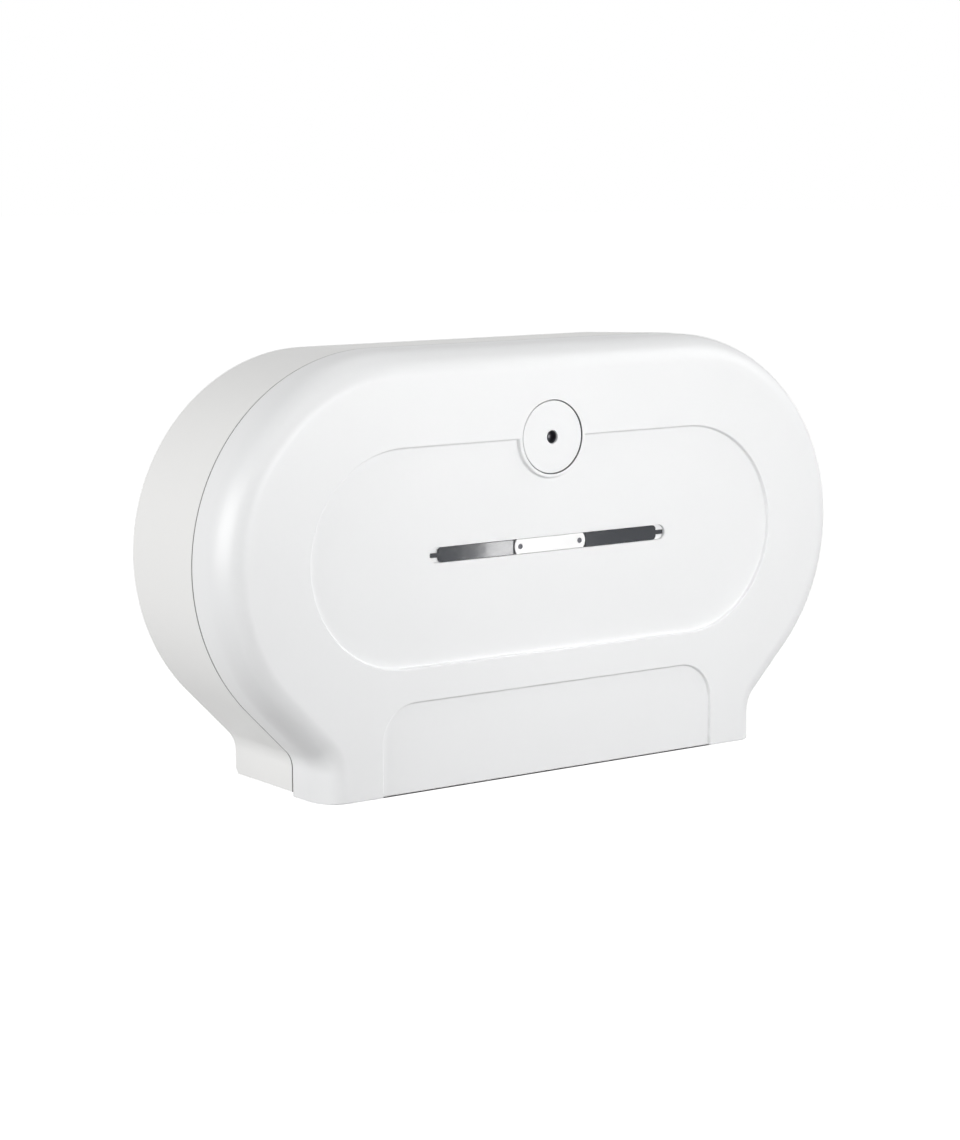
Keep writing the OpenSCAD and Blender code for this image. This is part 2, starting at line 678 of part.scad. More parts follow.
module post_gusset(z) {
    // A sloping rib that stiffens the post above or below
    reach = post_flange - 1;
    edge = post_mid_z + z * post_h / 2;
    translate([(post_left + post_right) / 2 - 1.5, 0, 0]) rotate([90, 0, 90]) linear_extrude(3)
        polygon([[-plate_front - 1, edge - z], [-plate_front - 1, edge + z * reach],
            [-plate_front - post_t - 1, edge + z * reach], [-post_front + 30, edge + z * 1.2],
            [-post_front + 30, edge - z]]);
}
module latch_screws() color(steel) for (at = latch_screw_at)
    pan_screw(at, plate_front + post_t, 1.5, screw_d, screw_head_d, screw_head_t);

// ---- roll hubs ------------------------------------------------------------------------

module axle(side) color(inner_white) difference() {
    at = [side * axis_x, 0];
    union() {
        bar(at, axle_foot_d / 2, plate_front, axle_front);
        bar(at, axle_d / 2, plate_front, axle_end);
    }
    for (i = [0:2]) {
        spot = at + axle_screw_pcd / 2 * [sin(120 * i), cos(120 * i)];
        bar(spot, small_bore, 0, face_depth);
        bar(spot, screw_head_d / 2 + 0.1, axle_front - screw_head_t, face_depth);
    }
    bar(at, small_bore, axle_end - end_screw_l - 2, axle_end + 1);
}
module axle_screws() color(steel) for (at = axle_screw_at)
    pan_screw(at, axle_front - screw_head_t, 1.5, screw_d, screw_head_d, screw_head_t - 0.1);
module brake_spring(side) color(steel) translate([side * axis_x, -axle_front, 0])
    rotate([90, 0, 0]) difference() {
        union() {
            cylinder(d = brake_d, h = brake_t);
            for (i = [0:2]) rotate(120 * i + 60) translate([(brake_d + axle_d) / 4, 0, 0])
                cylinder(r = 1.8, h = brake_t + brake_rise);
        }
        translate([0, 0, -1]) cylinder(r = axle_d / 2 + 0.3, h = 4);
    }
module roll_hub(side) color(grey_plastic) translate([side * axis_x, -hub_back, 0])
    rotate([90, 0, 0]) {
        sleeve_r = axle_d / 2 + turn_gap + sleeve_wall;
        bore_r = axle_d / 2 + turn_gap;
        difference() {
            rotate_extrude() polygon([[bore_r, 0], [flange_d / 2, 0], [flange_d / 2, flange_t],
                [hub_d / 2, flange_t], [hub_d / 2, hub_l - 6], [hub_d / 2 - 2, hub_l - 2],
                [hub_d / 2 - hub_wall, hub_l - 2], [hub_d / 2 - hub_wall, flange_t],
                [sleeve_r, flange_t], [sleeve_r, hub_l], [bore_r, hub_l]]);
            for (i = [0:flange_holes - 1]) rotate(360 * i / flange_holes)
                translate([(flange_d + hub_d) / 4, 0, -1]) cylinder(d = flange_hole_d, h = flange_t + 2);
        }
        for (i = [0:hub_ribs - 1]) rotate(360 * (i + 0.5) / hub_ribs)
            translate([hub_d / 2 - 1, -1.25, flange_t - 0.5]) cube([hub_rib + 1, 2.5, hub_l - 10]);
        for (i = [0:hub_webs - 1]) rotate(360 * i / hub_webs)
            translate([sleeve_r - 1, -1, flange_t - 0.5])
                cube([hub_d / 2 - hub_wall - sleeve_r + 2, 2, hub_l - 8]);
    }
module axle_washers() color(steel) for (side = [-1, 1]) difference() {
    bar([side * axis_x, 0], washer_d / 2, axle_end, axle_end + washer_t);
    bar([side * axis_x, 0], small_bore, 0, face_depth);
}
module axle_end_screws() color(steel) for (side = [-1, 1])
    pan_screw([side * axis_x, 0], axle_end + washer_t, axle_end - end_screw_l, screw_d, screw_head_d * 1.4,
        screw_head_t * 1.3);

// ---- outlet ---------------------------------------------------------------------------

module outlet_frame() color(inner_white) difference() {
    half = frame_w / 2;
    union() {
        block([-half, half], [plate_front + 0.3, frame_depth], [frame_low, frame_top]);
        // Stiffening rims along the front bar and beside the middle bar's blade
        block([-half, half], [frame_depth - 2, frame_depth], [frame_low, frame_top + frame_rim]);
        both() block([half - 2, half], [side_screw_depths[2] + 6, frame_depth],
            [frame_low, frame_top + frame_rim]);
        block([-half, half], [plate_front + 0.3, plate_front + 2.3], [frame_low, frame_top + frame_rim]);
    }
    both() block([outlet_x0, outlet_x1], [outlet_d0, outlet_d1], [frame_low - 1, frame_top + 1]);
    both() for (d = side_screw_depths) translate([side_screw_x, -d, frame_low - 1])
        cylinder(r = small_bore, h = frame_t + 2);
    for (d = mid_screw_depths) translate([0, -d, frame_low - 1])
        cylinder(r = small_bore, h = frame_t + 2);
}
blade_d0 = outlet_d0 + 1;
blade_d1 = outlet_d1 - 1;
teeth = floor((blade_d1 - blade_d0) / tooth_pitch);

// Teeth that point to +X from the line x = 0, between the two blade ends
function tooth_line(x, dir) = [for (i = [0:teeth - 1]) each [
    [x, -(blade_d0 + i * tooth_pitch)],
    [x + dir * tooth_h, -(blade_d0 + (i + 0.5) * tooth_pitch)]]];
module side_blade(side) color(steel) mirror([side < 0 ? 1 : 0, 0, 0]) difference() {
    back = frame_w / 2 - 2.5;
    end = -(blade_d0 + teeth * tooth_pitch);
    translate([0, 0, frame_top]) linear_extrude(blade_t)
        polygon(concat([[back, -blade_d0]], tooth_line(outlet_x1, -1),
            [[outlet_x1, end], [back, end]]));
    for (d = side_screw_depths) translate([side_screw_x, -d, frame_top - 1])
        cylinder(r = small_bore, h = blade_t + 2);
}
module tear_blade_centre() color(steel) difference() {
    end = -(blade_d0 + teeth * tooth_pitch);
    right = concat(tooth_line(outlet_x0, 1), [[outlet_x0, end]]);
    translate([0, 0, frame_top]) linear_extrude(blade_t)
        polygon(concat(right, [for (p = reversed(right)) [-p[0], p[1]]]));
    for (d = mid_screw_depths) translate([0, -d, frame_top - 1])
        cylinder(r = small_bore, h = blade_t + 2);
}
module down_screw(x, depth, tip) translate([x, -depth, 0]) {
    seat = frame_top + blade_t;
    difference() {
        union() {
            translate([0, 0, tip]) cylinder(d = screw_d, h = seat - tip + screw_head_t / 2);
            translate([0, 0, seat]) cylinder(d = screw_head_d, h = screw_head_t);
        }
        for (turn = [0, 90]) translate([0, 0, seat + screw_head_t]) rotate(turn)
            cube([screw_head_d * 0.6, 0.8, screw_head_t], center = true);
    }
}
module outlet_screws() color(steel) {
    for (side = [-1, 1], d = side_screw_depths) down_screw(side * side_screw_x, d, casing_low + 0.5);
    for (d = mid_screw_depths) down_screw(0, d, frame_low + 0.5);
}

rear_casing();
front_cover();
hinge_pin(-1);  // hinge_pin_left
hinge_pin(1);  // hinge_pin_right
window_lens(-1);  // window_lens_left
window_lens(1);  // window_lens_right
window_bridge();
bridge_screws();
lock_disc();
lock_housing();
lock_nut();
lock_plug();
key_pin();
lock_cam();
cam_screw();
latch_post();
latch_screws();
axle(-1);  // axle_left
axle(1);  // axle_right
axle_screws();
brake_spring(-1);  // brake_spring_left
brake_spring(1);  // brake_spring_right
roll_hub(-1);  // roll_hub_left
roll_hub(1);  // roll_hub_right
axle_washers();
axle_end_screws();
outlet_frame();
side_blade(-1);  // tear_blade_left
tear_blade_centre();
side_blade(1);  // tear_blade_right
outlet_screws();
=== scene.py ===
"""Looks of a twin jumbo toilet roll dispenser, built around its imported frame."""

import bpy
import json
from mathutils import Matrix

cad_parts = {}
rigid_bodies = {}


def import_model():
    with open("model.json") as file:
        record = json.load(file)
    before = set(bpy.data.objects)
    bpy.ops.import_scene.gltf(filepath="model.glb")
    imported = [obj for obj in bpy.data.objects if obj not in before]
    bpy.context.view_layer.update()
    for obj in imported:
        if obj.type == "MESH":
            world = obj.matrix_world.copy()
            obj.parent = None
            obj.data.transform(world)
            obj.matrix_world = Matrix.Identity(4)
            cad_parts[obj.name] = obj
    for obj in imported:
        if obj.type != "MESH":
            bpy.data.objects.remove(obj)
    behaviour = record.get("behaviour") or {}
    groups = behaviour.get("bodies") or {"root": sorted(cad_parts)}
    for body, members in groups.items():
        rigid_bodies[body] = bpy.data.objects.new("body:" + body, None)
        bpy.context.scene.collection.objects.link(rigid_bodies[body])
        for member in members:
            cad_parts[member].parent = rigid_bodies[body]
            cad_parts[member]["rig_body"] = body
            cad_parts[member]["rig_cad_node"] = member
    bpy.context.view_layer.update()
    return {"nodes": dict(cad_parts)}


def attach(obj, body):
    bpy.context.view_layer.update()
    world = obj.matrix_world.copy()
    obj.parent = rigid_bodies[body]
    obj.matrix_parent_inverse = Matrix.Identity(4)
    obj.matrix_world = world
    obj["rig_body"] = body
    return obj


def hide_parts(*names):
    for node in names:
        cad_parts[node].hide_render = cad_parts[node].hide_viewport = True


bl_info = {
    "name": "Twin jumbo roll dispenser",
    "version": (1, 0, 0),
    "blender": (4, 5, 0),
    "location": "3D View > Sidebar > Dispenser",
    "description": "Smooth mouldings, windows, lock, finishes and studio of a twin roll dispenser",
    "category": "Object",
}

import json
import math

import bpy
from bpy.props import FloatProperty, FloatVectorProperty, IntProperty, PointerProperty
from bpy.types import Operator, Panel, PropertyGroup
from mathutils import Matrix, Vector

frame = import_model()
NEAR = 2e-5  # points closer than this count as one place
SAME = 1e-6  # points closer than this are merged
PAST = 0.001  # how far a cutting tool reaches past what it cuts
SCREW_BORE_R = 0.00103  # radius of the bores for the bridge screws
SET_IN_PLAY = 0.0001  # play around what is set into the bridge plate
TONGUE_PLAY = 0.00025  # play at the ends of the lenses' tongues
PIN_PLAY = 0.00005  # play around the hinge pins
SLOT_WALL = 0.008  # how much larger than the slot the moulding behind it is
CORNER_RISE = 0.0006  # how far the cover's inner corners stay above its bottom edge
BOSS_BACK = 0.0005  # depth where the screw bosses behind the back plate start
BORE_BACK = 0.0012  # depth where their bores start
RIB_OVERLAP = 0.0005  # how far the ribs reach into the back plate
OUTER_RIB = 0.042  # from the wall screw holes to the outermost ribs
HALF_SPACE = 0.3  # more than half the part's width
FINE_R = 0.0001  # radius on edges that only have to catch the light
SOFT_R = 0.0004  # radius on the casing's and the bridge plate's front edges
AIM = Vector((0, -0.06, 0))  # what the lamps are aimed at


# ---- sizes and colours --------------------------------------------------------------------


def length(name, description, mm):
    return FloatProperty(name=name, description=description, default=mm / 1000, unit="LENGTH", precision=5)


def angle(name, description, degrees):
    return FloatProperty(
        name=name, description=description, default=math.radians(degrees), unit="ROTATION"
    )


def count(name, description, number):
    return IntProperty(name=name, description=description, default=number, min=2)


def amount(name, description, value):
    return FloatProperty(name=name, description=description, default=value)


def colour(name, description, rgb):
    return FloatVectorProperty(
        name=name, description=description, default=(*rgb, 1.0), size=4, subtype="COLOR", min=0, max=1
    )


class OutlineSizes(PropertyGroup):
    end_radius: length("End radius", "Radius of the round ends", 140)
    axis_x: length("Roll axis", "Distance of each roll axis from the middle", 124)
    end_turn: angle("End turn", "How far below level the round ends stop", 44.5)
    foot_x: length("Half foot", "Half the width of the foot", 189.5)
    fillet: length("Foot fillet", "Radius of the hollow between slanted side and foot", 17)
    cover_low: length("Cover bottom", "Height of the cover's bottom edge", -160)
    casing_low: length("Casing bottom", "Height of the casing's bottom edge at the seam", -157)
    casing_fall: length("Casing fall", "How much lower that edge is at the wall", 2.3)
    casing_corner: length("Casing corner", "Length and height of the cut-back lower corner", 3.5)
    wall: length("Wall", "Wall thickness of both mouldings", 3)
    seam: length("Seam depth", "Depth of the casing's front edge", 85)
    seam_gap: length("Seam gap", "Gap between casing and cover", 0.4)
    face: length("Face depth", "Depth of the cover's face", 127)
    draft: length("Draft", "How much narrower the casing is at the wall", 3.5)
    foot_draft: length("Foot draft", "The same for the casing's foot", 6.3)
    lip_in: length("Lip set-in", "How far the lip stands inside the casing's outer face", 3.4)
    lip_t: length("Lip", "Thickness of the lip that enters the cover", 1.5)
    lip_reach: length("Lip reach", "How far the lip enters the cover", 4)
    lip_low: length("Lip end", "Height where the lip stops above the foot", -96)
    side_r: length("Side radius", "Radius of the round edge at the side wall", 31)
    face_r: length("Face radius", "Radius of the round edge at the face", 14.75)
    edge_turn: angle("Edge turn", "Angle where the one radius passes into the other", 37)
    end_steps: count("End steps", "Steps along each round end", 88)
    fillet_steps: count("Fillet steps", "Steps along each foot fillet", 16)
    edge_steps: count("Edge steps", "Steps along each radius of the round edge", 9)


class FaceSizes(PropertyGroup):
    panel_w: length("Panel width", "Width of the sunk panel", 396)
    panel_h: length("Panel height", "Height of the sunk panel", 149)
    panel_z: length("Panel middle", "Height of the panel's middle", 0.7)
    panel_floor: length("Panel floor", "Depth of the panel's floor", 124)
    apron_w: length("Apron width", "Width of the lower recess", 286)
    apron_top: length("Apron top", "Height of the lower recess's top edge", -97.8)
    apron_r: length("Apron corner", "Corner radius of the lower recess", 26.8)
    apron_floor: length("Apron floor", "Depth of the lower recess's floor", 124.5)
    slot_w: length("Slot width", "Length of the window slot", 204)
    slot_h: length("Slot height", "Height of the window slot", 10.7)
    slot_floor: length("Slot floor", "Depth of the window slot's floor", 121.8)
    slot_back: length("Slot back", "Depth of the back of the moulding behind the slot", 119)
    hole_in: length("Hole start", "Where the hole behind a lens starts", 34.5)
    hole_out: length("Hole end", "Where the hole behind a lens ends", 90.5)
    hole_h: length("Hole height", "Height of the hole behind a lens", 6.7)
    bridge_screw_x: length("Bridge screw", "Distance of each bridge screw from the middle", 25.7)
    recess_fillet: length("Recess fillet", "Radius on the edges of the recesses", 1.1)
    slot_fillet: length("Slot fillet", "Radius on the edges of slot and lock cup", 0.35)
    rim_fillet: length("Rim fillet", "Radius on the rims and on inner edges", 0.5)


class WindowSizes(PropertyGroup):
    lens_h: length("Lens height", "Height of the lenses and of the bridge plate", 10.2)
    lens_t: length("Lens", "Thickness of the lenses", 1.6)
    lens_in: length("Lens start", "Where a lens starts beside the bridge plate", 31.1)
    shoulder: length("Lens shoulder", "Where a lens ends in its shoulder", 94.5)
    corner_r: length("Shoulder corner", "Radius of the corners of the shoulder", 2.8)
    neck_h: length("Neck height", "Height of the neck at the outer end of a lens", 3.1)
    neck_l: length("Neck length", "Length of that neck", 6.2)
    tongue_t: length("Tongue", "Thickness of the tongue under the bridge plate", 0.8)
    tongue_l: length("Tongue length", "Length of that tongue", 3.2)
    bridge_w: length("Bridge width", "Length of the bridge plate", 61)
    bridge_t: length("Bridge", "Thickness of the bridge plate", 2)
    bulge: length("Bridge bulge", "How far the ends of the bridge plate bulge", 1.8)
    head_d: length("Bridge screw head", "Diameter of the heads of the bridge screws", 3.6)


class LockSizes(PropertyGroup):
    z: length("Lock height", "Height of the lock's axis", 75.2)
    disc_d: length("Disc", "Diameter of the lock disc", 50.4)
    disc_back: length("Disc back", "Depth of the lock disc's back", 124.8)
    disc_edge: length("Disc edge", "Radius on the edge of the lock disc", 0.5)
    disc_sink: length("Disc sink", "How far the disc's face lies below the boss's rim", 0.3)
    disc_shift: length("Disc shift", "How far the disc sits to the left in its cup", 0.18)
    cup_r: length("Cup radius", "Radius of the cup around the disc", 25.7)
    groove_w: length("Groove", "Width of the groove in the cup around the disc's seat", 1.2)
    groove_back: length("Groove floor", "Depth of that groove's floor", 122.4)
    boss_r: length("Boss radius", "Outer radius of the boss", 28.4)
    hole_d: length("Key hole", "Diameter of the key hole", 9.2)
    flange_r: length("Flange recess", "Radius of the recess for the housing's flange", 12.4)
    flange_back: length("Flange seat", "Depth of the seat of that flange", 123.8)
    bore_r: length("Housing bore", "Radius of the bore for the lock housing", 9.53)


class HingeSizes(PropertyGroup):
    x: length("Hinge middle", "Distance of each hinge from the middle", 163)
    hinge_l: length("Hinge length", "Length of one hinge", 24)
    knuckle_l: length("Knuckle length", "Length of each outer knuckle", 6)
    knuckle_r: length("Knuckle radius", "Radius of the knuckles", 3)
    pin_d: length("Pin", "Diameter of the hinge pins", 3.2)
    gap: length("Knuckle gap", "Gap between two knuckles", 0.4)
    head_d: length("Pin head", "Diameter of the pins' heads", 5)
    head_t: length("Pin head thickness", "Thickness of the pins' heads", 1.4)


class BackSizes(PropertyGroup):
    setin: length("Back set-in", "How far the back plate is set in from the wall", 4)
    rib_t: length("Rib", "Thickness of the ribs behind the back plate", 2)
    hole_x: length("Wall hole across", "Distance of the wall screw holes from the middle", 150)
    hole_z: length("Wall hole height", "Height of the wall screw holes above the roll axes", 70)
    hole_d: length("Wall hole", "Diameter of the wall screw holes", 5.5)
    pad_d: length("Pad", "Diameter of the pads around the wall screw holes", 22)
    pad_rise: length("Pad rise", "How far these pads stand up inside", 2)
    boss_r: length("Screw boss", "Radius of the bosses behind the back plate", 4.5)
    bore_r: length("Screw bore", "Radius of the bores for the small screws", 1.53)
    axle_pitch_r: length("Axle screws", "Radius of the circle of each axle's screws", 18)
    latch_x: length("Latch screws", "Middle of the latch post's screws", -8)
    latch_half_w: length("Latch screw spread", "Half their distance across", 25)
    latch_half_h: length("Latch screw rise", "Half their distance up and down", 17.5)
    opening_x: length("Outlet opening", "Half the width of the opening above the outlets", 140)
    opening_back: length("Opening back", "Depth where that opening starts", 12)
    frame_screw_x: length("Frame screws", "Distance of the outlet frame's side screws from the middle", 145)
    frame_screw_start: length("First frame screw", "Depth of the first of these screws", 24)
    frame_screw_pitch: length("Frame screw pitch", "Distance between these screws", 26)


class FinishColours(PropertyGroup):
    cover: colour("Cover white", "Glossy white of the cover", (0.880, 0.885, 0.890))
    casing: colour("Casing white", "Glossy white of the casing", (0.870, 0.868, 0.858))
    inner: colour("Inner white", "Matt white of the inner mouldings", (0.80, 0.80, 0.79))
    smoke: colour("Smoked lens", "Dark blue-grey of the windows", (0.008, 0.012, 0.020))
    hub: colour("Hub grey", "Grey of the roll hubs", (0.42, 0.43, 0.44))
    zinc: colour("Zinc", "Zinc of lock housing, nut and cam", (0.60, 0.60, 0.59))
    steel: colour("Steel", "Steel of pins, screws and blades", (0.62, 0.63, 0.64))


class StudioSettings(PropertyGroup):
    azimuth: angle("Azimuth", "Camera's angle to the left of the front", 35.639)
    elevation: angle("Elevation", "Camera's angle above level", 8.286)
    roll: angle("Roll", "Camera's tilt", -0.391)
    distance: length("Distance", "From the camera to its target", 2029.25)
    lens: amount("Lens", "Focal length in mm", 90.148)
    target: FloatVectorProperty(
        name="Target", description="Where the camera looks", size=3, unit="LENGTH",
        default=(-0.01459, -0.060, -0.02392),
    )
    floor_z: length("Floor", "Height of the floor", -760)
    world: amount("Sky", "Strength of the even light from all round", 0.03)
    left: amount("Left light", "Power of the left softbox in watts", 47)
    right: amount("Right light", "Power of the right softbox in watts", 20)
    high: amount("High light", "Power of the high softbox in watts", 0.5)
    top: amount("Top light", "Power of the top softbox in watts", 4.5)
    back: amount("Back light", "Power of the softbox behind in watts", 6.5)
    near: amount("Near light", "Power of the small front lamp in watts", 3.2)
    near_right: amount("Near right", "Power of the small lamp beside it", 3.9)
    strip: amount("Strip", "Power of the strip that the windows mirror", 3.5)


SETTINGS = {
    "dispenser_outline": OutlineSizes,
    "dispenser_face": FaceSizes,
    "dispenser_window": WindowSizes,
    "dispenser_lock": LockSizes,
    "dispenser_hinge": HingeSizes,
    "dispenser_back": BackSizes,
    "dispenser_colours": FinishColours,
    "dispenser_studio": StudioSettings,
}


def settings(name):
    return getattr(bpy.context.scene, "dispenser_" + name)


# ---- modelling helpers ----------------------------------------------------------------------


def at(x, depth, z):
    """A place given by X, depth in front of the wall, and Z."""
    return Vector((x, -depth, z))


def pick(*objects):
    """Leaves just these objects selected, the first one active, in object mode."""
    if bpy.context.mode != "OBJECT":
        bpy.ops.object.mode_set(mode="OBJECT")
    bpy.ops.object.select_all(action="DESELECT")
    for o in objects:
        o.select_set(True)
    bpy.context.view_layer.objects.active = objects[0]


def open_mesh(o):
    pick(o)
    bpy.ops.object.mode_set(mode="EDIT")


def settle(o):
    """Applies an object's place, so that it sits at the origin."""
    pick(o)
    bpy.ops.object.transform_apply(location=True, rotation=True, scale=True)
    return o


def select_points(o, test):
    """In edit mode, selects the points that pass the test and what lies between them."""
    bpy.ops.mesh.select_all(action="DESELECT")
    bpy.ops.object.mode_set(mode="OBJECT")
    for v in o.data.vertices:
        v.select = test(v.co)
    bpy.ops.object.mode_set(mode="EDIT")
    bpy.ops.mesh.select_mode(type="VERT")


def fill(o, test):
    """Closes the loop of the points that pass the test with one face."""
    select_points(o, test)
    bpy.ops.mesh.edge_face_add()


def pen(name, start):
    """Starts a drawing: one point, in edit mode."""
    bpy.ops.object.select_all(action="DESELECT")
    bpy.ops.mesh.primitive_plane_add(size=0.001, location=start)
    o = settle(bpy.context.object)
    o.name = name
    bpy.ops.object.mode_set(mode="EDIT")
    bpy.ops.mesh.select_mode(type="VERT")
    bpy.ops.mesh.select_all(action="SELECT")
    bpy.ops.mesh.merge(type="CENTER")
    return o


def line(step):
    bpy.ops.mesh.extrude_vertices_move(TRANSFORM_OT_translate={"value": step})


def turn(centre, axis, by, steps):
    """Spins what is selected; a positive angle is clockwise seen against the axis."""
    bpy.ops.mesh.spin(steps=steps, angle=by, center=centre, axis=axis)


def push(step):
    bpy.ops.mesh.extrude_region_move(TRANSFORM_OT_translate={"value": step})


def tidy_mesh(o):
    """Merges doubles and turns every face outwards."""
    open_mesh(o)
    bpy.ops.mesh.select_all(action="SELECT")
    bpy.ops.mesh.remove_doubles(threshold=SAME)
    bpy.ops.mesh.normals_make_consistent(inside=False)
    bpy.ops.object.mode_set(mode="OBJECT")
    return o


def apply_modifier(o, kind, **values):
    pick(o)
    bpy.ops.object.modifier_add(type=kind)
    m = o.modifiers[-1]
    for key, value in values.items():
        setattr(m, key, value)
    bpy.ops.object.modifier_apply(modifier=m.name)


def combine(o, tool, how):
    """Adds a solid to another, cuts it away or keeps what they share; the tool is used up."""
    apply_modifier(o, "BOOLEAN", operation=how, object=tool, solver="EXACT")
    bpy.data.meshes.remove(tool.data)
    return o


def cut(o, *tools):
    for tool in tools:
        combine(o, tool, "DIFFERENCE")
    return o


def add(o, *tools):
    for tool in tools:
        combine(o, tool, "UNION")
    return o


def cylinder(place, r, height, points, rotation=(0, 0, 0)):
    bpy.ops.object.select_all(action="DESELECT")
    bpy.ops.mesh.primitive_cylinder_add(
        vertices=points, radius=r, depth=height, location=place, rotation=rotation,
    )
    return settle(bpy.context.object)


def bar(x, z, r, start, end, points=96):
    """A round bar along the depth."""
    return cylinder(at(x, (start + end) / 2, z), r, end - start, points, (math.pi / 2, 0, 0))


def cross_bar(x0, x1, depth, z, r, points=40):
    """A round bar along X."""
    return cylinder(at((x0 + x1) / 2, depth, z), r, x1 - x0, points, (0, math.pi / 2, 0))


def upright_bar(x, depth, z0, z1, r, points=24):
    """A round bar standing up."""
    return cylinder(at(x, depth, (z0 + z1) / 2), r, z1 - z0, points)


def joined(*objects):
    """Several separate solids as one object, so that one cut or union takes them all."""
    pick(*objects)
    bpy.ops.object.join()
    return bpy.context.object


def block(x, depth, z):
    """A box between two corners given in X, depth and Z."""
    bpy.ops.object.select_all(action="DESELECT")
    middle = [(p[0] + p[1]) / 2 for p in (x, depth, z)]
    bpy.ops.mesh.primitive_cube_add(size=1, location=at(*middle))
    bpy.context.object.scale = [p[1] - p[0] for p in (x, depth, z)]
    return settle(bpy.context.object)


def close_outline(merge=False):
    """Fills the outline that was drawn with one face."""
    bpy.ops.mesh.select_all(action="SELECT")
    if merge:
        bpy.ops.mesh.remove_doubles(threshold=SAME)
    bpy.ops.mesh.edge_face_add()


def thicken(o, start, end):
    """Gives a flat drawing at depth start its thickness."""
    bpy.ops.mesh.select_all(action="SELECT")
    push((0, start - end, 0))
    return tidy_mesh(o)


def stadium(w, h, z, start, end, steps=48):
    """A slab with round ends."""
    half = (w - h) / 2
    o = pen("stadium", at(-half, start, z + h / 2))
    line((2 * half, 0, 0))
    turn(at(half, start, z), (0, 1, 0), -math.pi, steps)
    line((-2 * half, 0, 0))
    turn(at(-half, start, z), (0, 1, 0), -math.pi, steps)
    close_outline(merge=True)
    return thicken(o, start, end)


def apron(grow, start, end, low, steps=20):
    """The lower recess, open at the bottom, grown by an amount."""
    s = settings("face")
    half, r = s.apron_w / 2 + grow, s.apron_r + grow
    top = s.apron_top + grow
    o = pen("apron", at(-half, start, low))
    line((0, 0, top - r - low))
    turn(at(r - half, start, top - r), (0, 1, 0), -math.pi / 2, steps)
    line((2 * (half - r), 0, 0))
    turn(at(half - r, start, top - r), (0, 1, 0), -math.pi / 2, steps)
    line((0, 0, low + r - top))
    close_outline()
    return thicken(o, start, end)


def fillet_centre():
    """Where the hollow fillet beside the right foot has its centre, in X and Z."""
    s = settings("outline")
    x = s.foot_x + s.fillet
    z = (math.cos(s.end_turn) * (x - s.axis_x) - s.end_radius - s.fillet) / math.sin(s.end_turn)
    return x, z


def sweep(o, inset_low):
    """Carries the drawn section from the right foot over the top to the middle, and mirrors it."""
    s = settings("outline")
    fillet_x, fillet_z = fillet_centre()
    bpy.ops.mesh.select_all(action="SELECT")
    push((0, 0, fillet_z - inset_low))
    turn((fillet_x, 0, fillet_z), (0, 1, 0), -s.end_turn, s.fillet_steps)
    outwards = Vector((math.cos(s.end_turn), 0, -math.sin(s.end_turn)))
    slant = Vector((s.axis_x - fillet_x, 0, -fillet_z)) + outwards * (s.end_radius + s.fillet)
    push(slant)
    turn((s.axis_x, 0, 0), (0, 1, 0), math.pi / 2 + s.end_turn, s.end_steps)
    push((-s.axis_x, 0, 0))
    apply_modifier(o, "MIRROR", use_axis=(True, False, False), use_clip=True, merge_threshold=1e-4)
    return o


def draw_section(name, start, steps, low):
    """Draws a section at the right foot from (inset, depth) steps and (inset, depth, angle, steps) arcs."""
    s = settings("outline")
    o = pen(name, at(s.foot_x - start[0], start[1], low))
    for step in steps:
        if len(step) == 2:
            line((-step[0], -step[1], 0))
        else:
            turn(at(s.foot_x - step[0], step[1], low), (0, 0, 1), step[2], step[3])
    return o


def behind_seam(depth):
    """The share of the draft at a depth: one at the wall, nought at the seam."""
    return max(0, 1 - depth / settings("outline").seam)


def draw_in_foot(o, depths, low):
    """Takes the casing's foot in by what its draft exceeds that of the sides, ring by ring."""
    s = settings("outline")
    slant_middle = (fillet_centre()[1] + (s.fillet - s.end_radius) * math.sin(s.end_turn)) / 2
    open_mesh(o)
    for depth in depths:
        extra = (s.foot_draft - s.draft) * behind_seam(depth)
        for side in (-1, 1):
            def in_foot(p):
                return side * p.x > 0 and abs(-p.y - depth) < NEAR and p.z < slant_middle
            select_points(o, in_foot)
            bpy.ops.transform.translate(value=(-side * extra, 0, 0))
            select_points(o, lambda p: in_foot(p) and p.z > low + NEAR)
            bpy.ops.transform.translate(value=(0, 0, -extra / math.tan(s.end_turn)))
    bpy.ops.object.mode_set(mode="OBJECT")


def casing_slab(name, inset, start, end, low):
    """The casing's outline as a slab between two depths, taken in by an amount."""
    s = settings("outline")
    places = [(inset + s.draft * behind_seam(depth), depth) for depth in (start, end)]
    o = draw_section(name, places[0], section_steps(places), low)
    sweep(o, low)
    draw_in_foot(o, (start, end), low)
    return close_ends(o, (start, end), low)


def close_ends(o, depths, low):
    """Closes a swept section at its depths and along its bottom."""
    open_mesh(o)
    for depth in depths:
        fill(o, lambda p: abs(-p.y - depth) < NEAR)
    fill(o, lambda p: abs(p.z - low) < NEAR)
    return tidy_mesh(o)


def section_steps(places):
    """The steps between places given as inset and depth."""
    return [(b[0] - a[0], b[1] - a[1]) for a, b in zip(places, places[1:])]


def round_edge_places():
    """How far the round edge reaches in from the side, and the depth where it starts."""
    s = settings("outline")
    reach_in = s.side_r * (1 - math.cos(s.edge_turn)) + s.face_r * math.cos(s.edge_turn)
    reach_back = s.side_r * math.sin(s.edge_turn) + s.face_r * (1 - math.sin(s.edge_turn))
    return reach_in, s.face - reach_back


